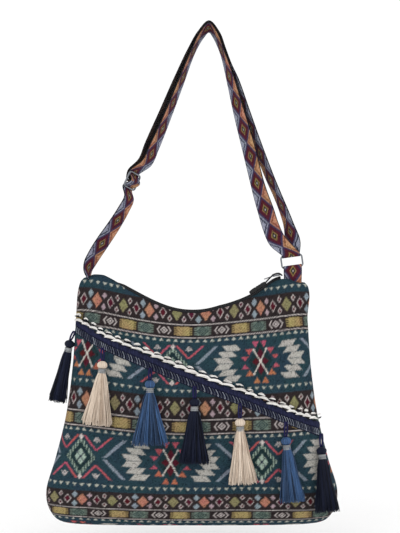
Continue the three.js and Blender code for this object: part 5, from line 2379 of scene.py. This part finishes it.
@dataclass(frozen=True)
class PaintedFloor(Finish):
    """A pale painted floor, with the faintest unevenness.

    Attributes:
        colour, shade: Lightest and darkest colour of the paint.
        patches: Patches of it to the metre.
    """

    colour: str = "#FFFFFF"
    shade: str = "#FCFCFC"
    patches: float = 9.0

    def dress(self, tree: NodeTree, shader: Node) -> None:
        """Varies the paint a little over hand widths.

        Args:
            tree: The material's node tree.
            shader: Its main shader.
        """
        place = add_node(tree, "ShaderNodeTexCoord", {}, {}).outputs["Object"]
        patch = add_node(tree, "ShaderNodeTexNoise", {"Scale": self.patches}, {"Vector": place})
        mix_settings = {"data_type": "RGBA", MIX_A: linear(self.colour), MIX_B: linear(self.shade)}
        mix = add_node(tree, "ShaderNodeMix", mix_settings, {0: patch.outputs["Fac"]})
        tree.links.new(mix.outputs[MIX_RESULT], shader.inputs["Base Color"])


@dataclass(frozen=True)
class SoftLight:
    """A square soft light that points at the bag.

    Attributes:
        place: Where it stands, in metres.
        size: Its side, in metres.
        power: Its power in watts.
    """

    name: str
    place: Point
    size: float
    power: float

    def build(self, target: Vector) -> None:
        """Places the light.

        Args:
            target: What it points at.
        """
        light = bpy.data.lights.new(self.name, "AREA")
        light.size = self.size
        light.energy = self.power
        lamp = bpy.data.objects.new(self.name, light)
        lamp.location = self.place
        lamp.rotation_euler = (target - lamp.location).to_track_quat("-Z", "Y").to_euler()
        bpy.context.scene.collection.objects.link(lamp)


@dataclass(frozen=True)
class Studio:
    """A plain pale studio, with the camera at the photograph's angle.

    Attributes:
        eye: Where the camera stands, in metres.
        view_height: Height of the view at the strap's plane, in metres.
        sensor: Height of the sensor, in millimetres.
        floor_z, floor_size: Height of the floor and its side, in metres.
        surround: Brightness of the white surround.
    """

    eye: Point = (-0.0126, -1.5, -0.3339)
    view_height: float = 0.7462
    sensor: float = 36.0
    floor_z: float = -0.74
    floor_size: float = 12.0
    surround: float = 1.04
    lights: tuple[SoftLight, ...] = (
        SoftLight("key_light", (-0.9, -1.5, 0.5), 0.9, 3.0),
        SoftLight("fill_light", (1.1, -1.4, 0.0), 1.2, 1.0),
    )

    def build(self) -> None:
        """Makes the floor, the surround, the lights and the camera."""
        form = bmesh.new()
        bmesh.ops.create_grid(form, x_segments=1, y_segments=1, size=self.floor_size / 2,
                              matrix=Matrix.Translation((0, 0, self.floor_z)))
        mesh = bpy.data.meshes.new("studio_floor")
        form.to_mesh(mesh)
        form.free()
        floor = new_piece("studio_floor", mesh)
        mesh.materials.append(material_for(PaintedFloor("pale_painted_floor", roughness=0.9)))
        scene = bpy.context.scene
        scene.world = bpy.data.worlds.new("white_surround")
        scene.world.use_nodes = True
        scene.world.node_tree.nodes["Background"].inputs["Color"].default_value = linear("#FFFFFF")
        scene.world.node_tree.nodes["Background"].inputs["Strength"].default_value = self.surround
        scene.view_settings.view_transform = "Standard"
        target = Vector((self.eye[0], 0, self.eye[2]))
        for light in self.lights:
            light.build(target)
        lens = bpy.data.cameras.new("photo_camera")
        lens.sensor_fit = "VERTICAL"
        lens.sensor_height = self.sensor
        lens.lens = self.sensor * -self.eye[1] / self.view_height
        camera = bpy.data.objects.new("photo_camera", lens)
        camera.location = self.eye
        camera.rotation_euler = (math.pi / 2, 0, 0)
        scene.collection.objects.link(camera)
        scene.camera = camera


def main() -> None:
    """Builds the bag piece by piece, then the studio."""
    logging.basicConfig(level=logging.INFO, format="%(name)s: %(message)s")
    chart = JacquardChart()
    for wall in Wall:
        ClothWall(wall, chart).build()
    TopZip().build()
    trim = DiagonalTrim()
    trim.build()
    for tassel in TASSELS:
        tassel.build(trim)
    ShoulderStrap().build()
    Studio().build()


if __name__ == "__main__":
    main()
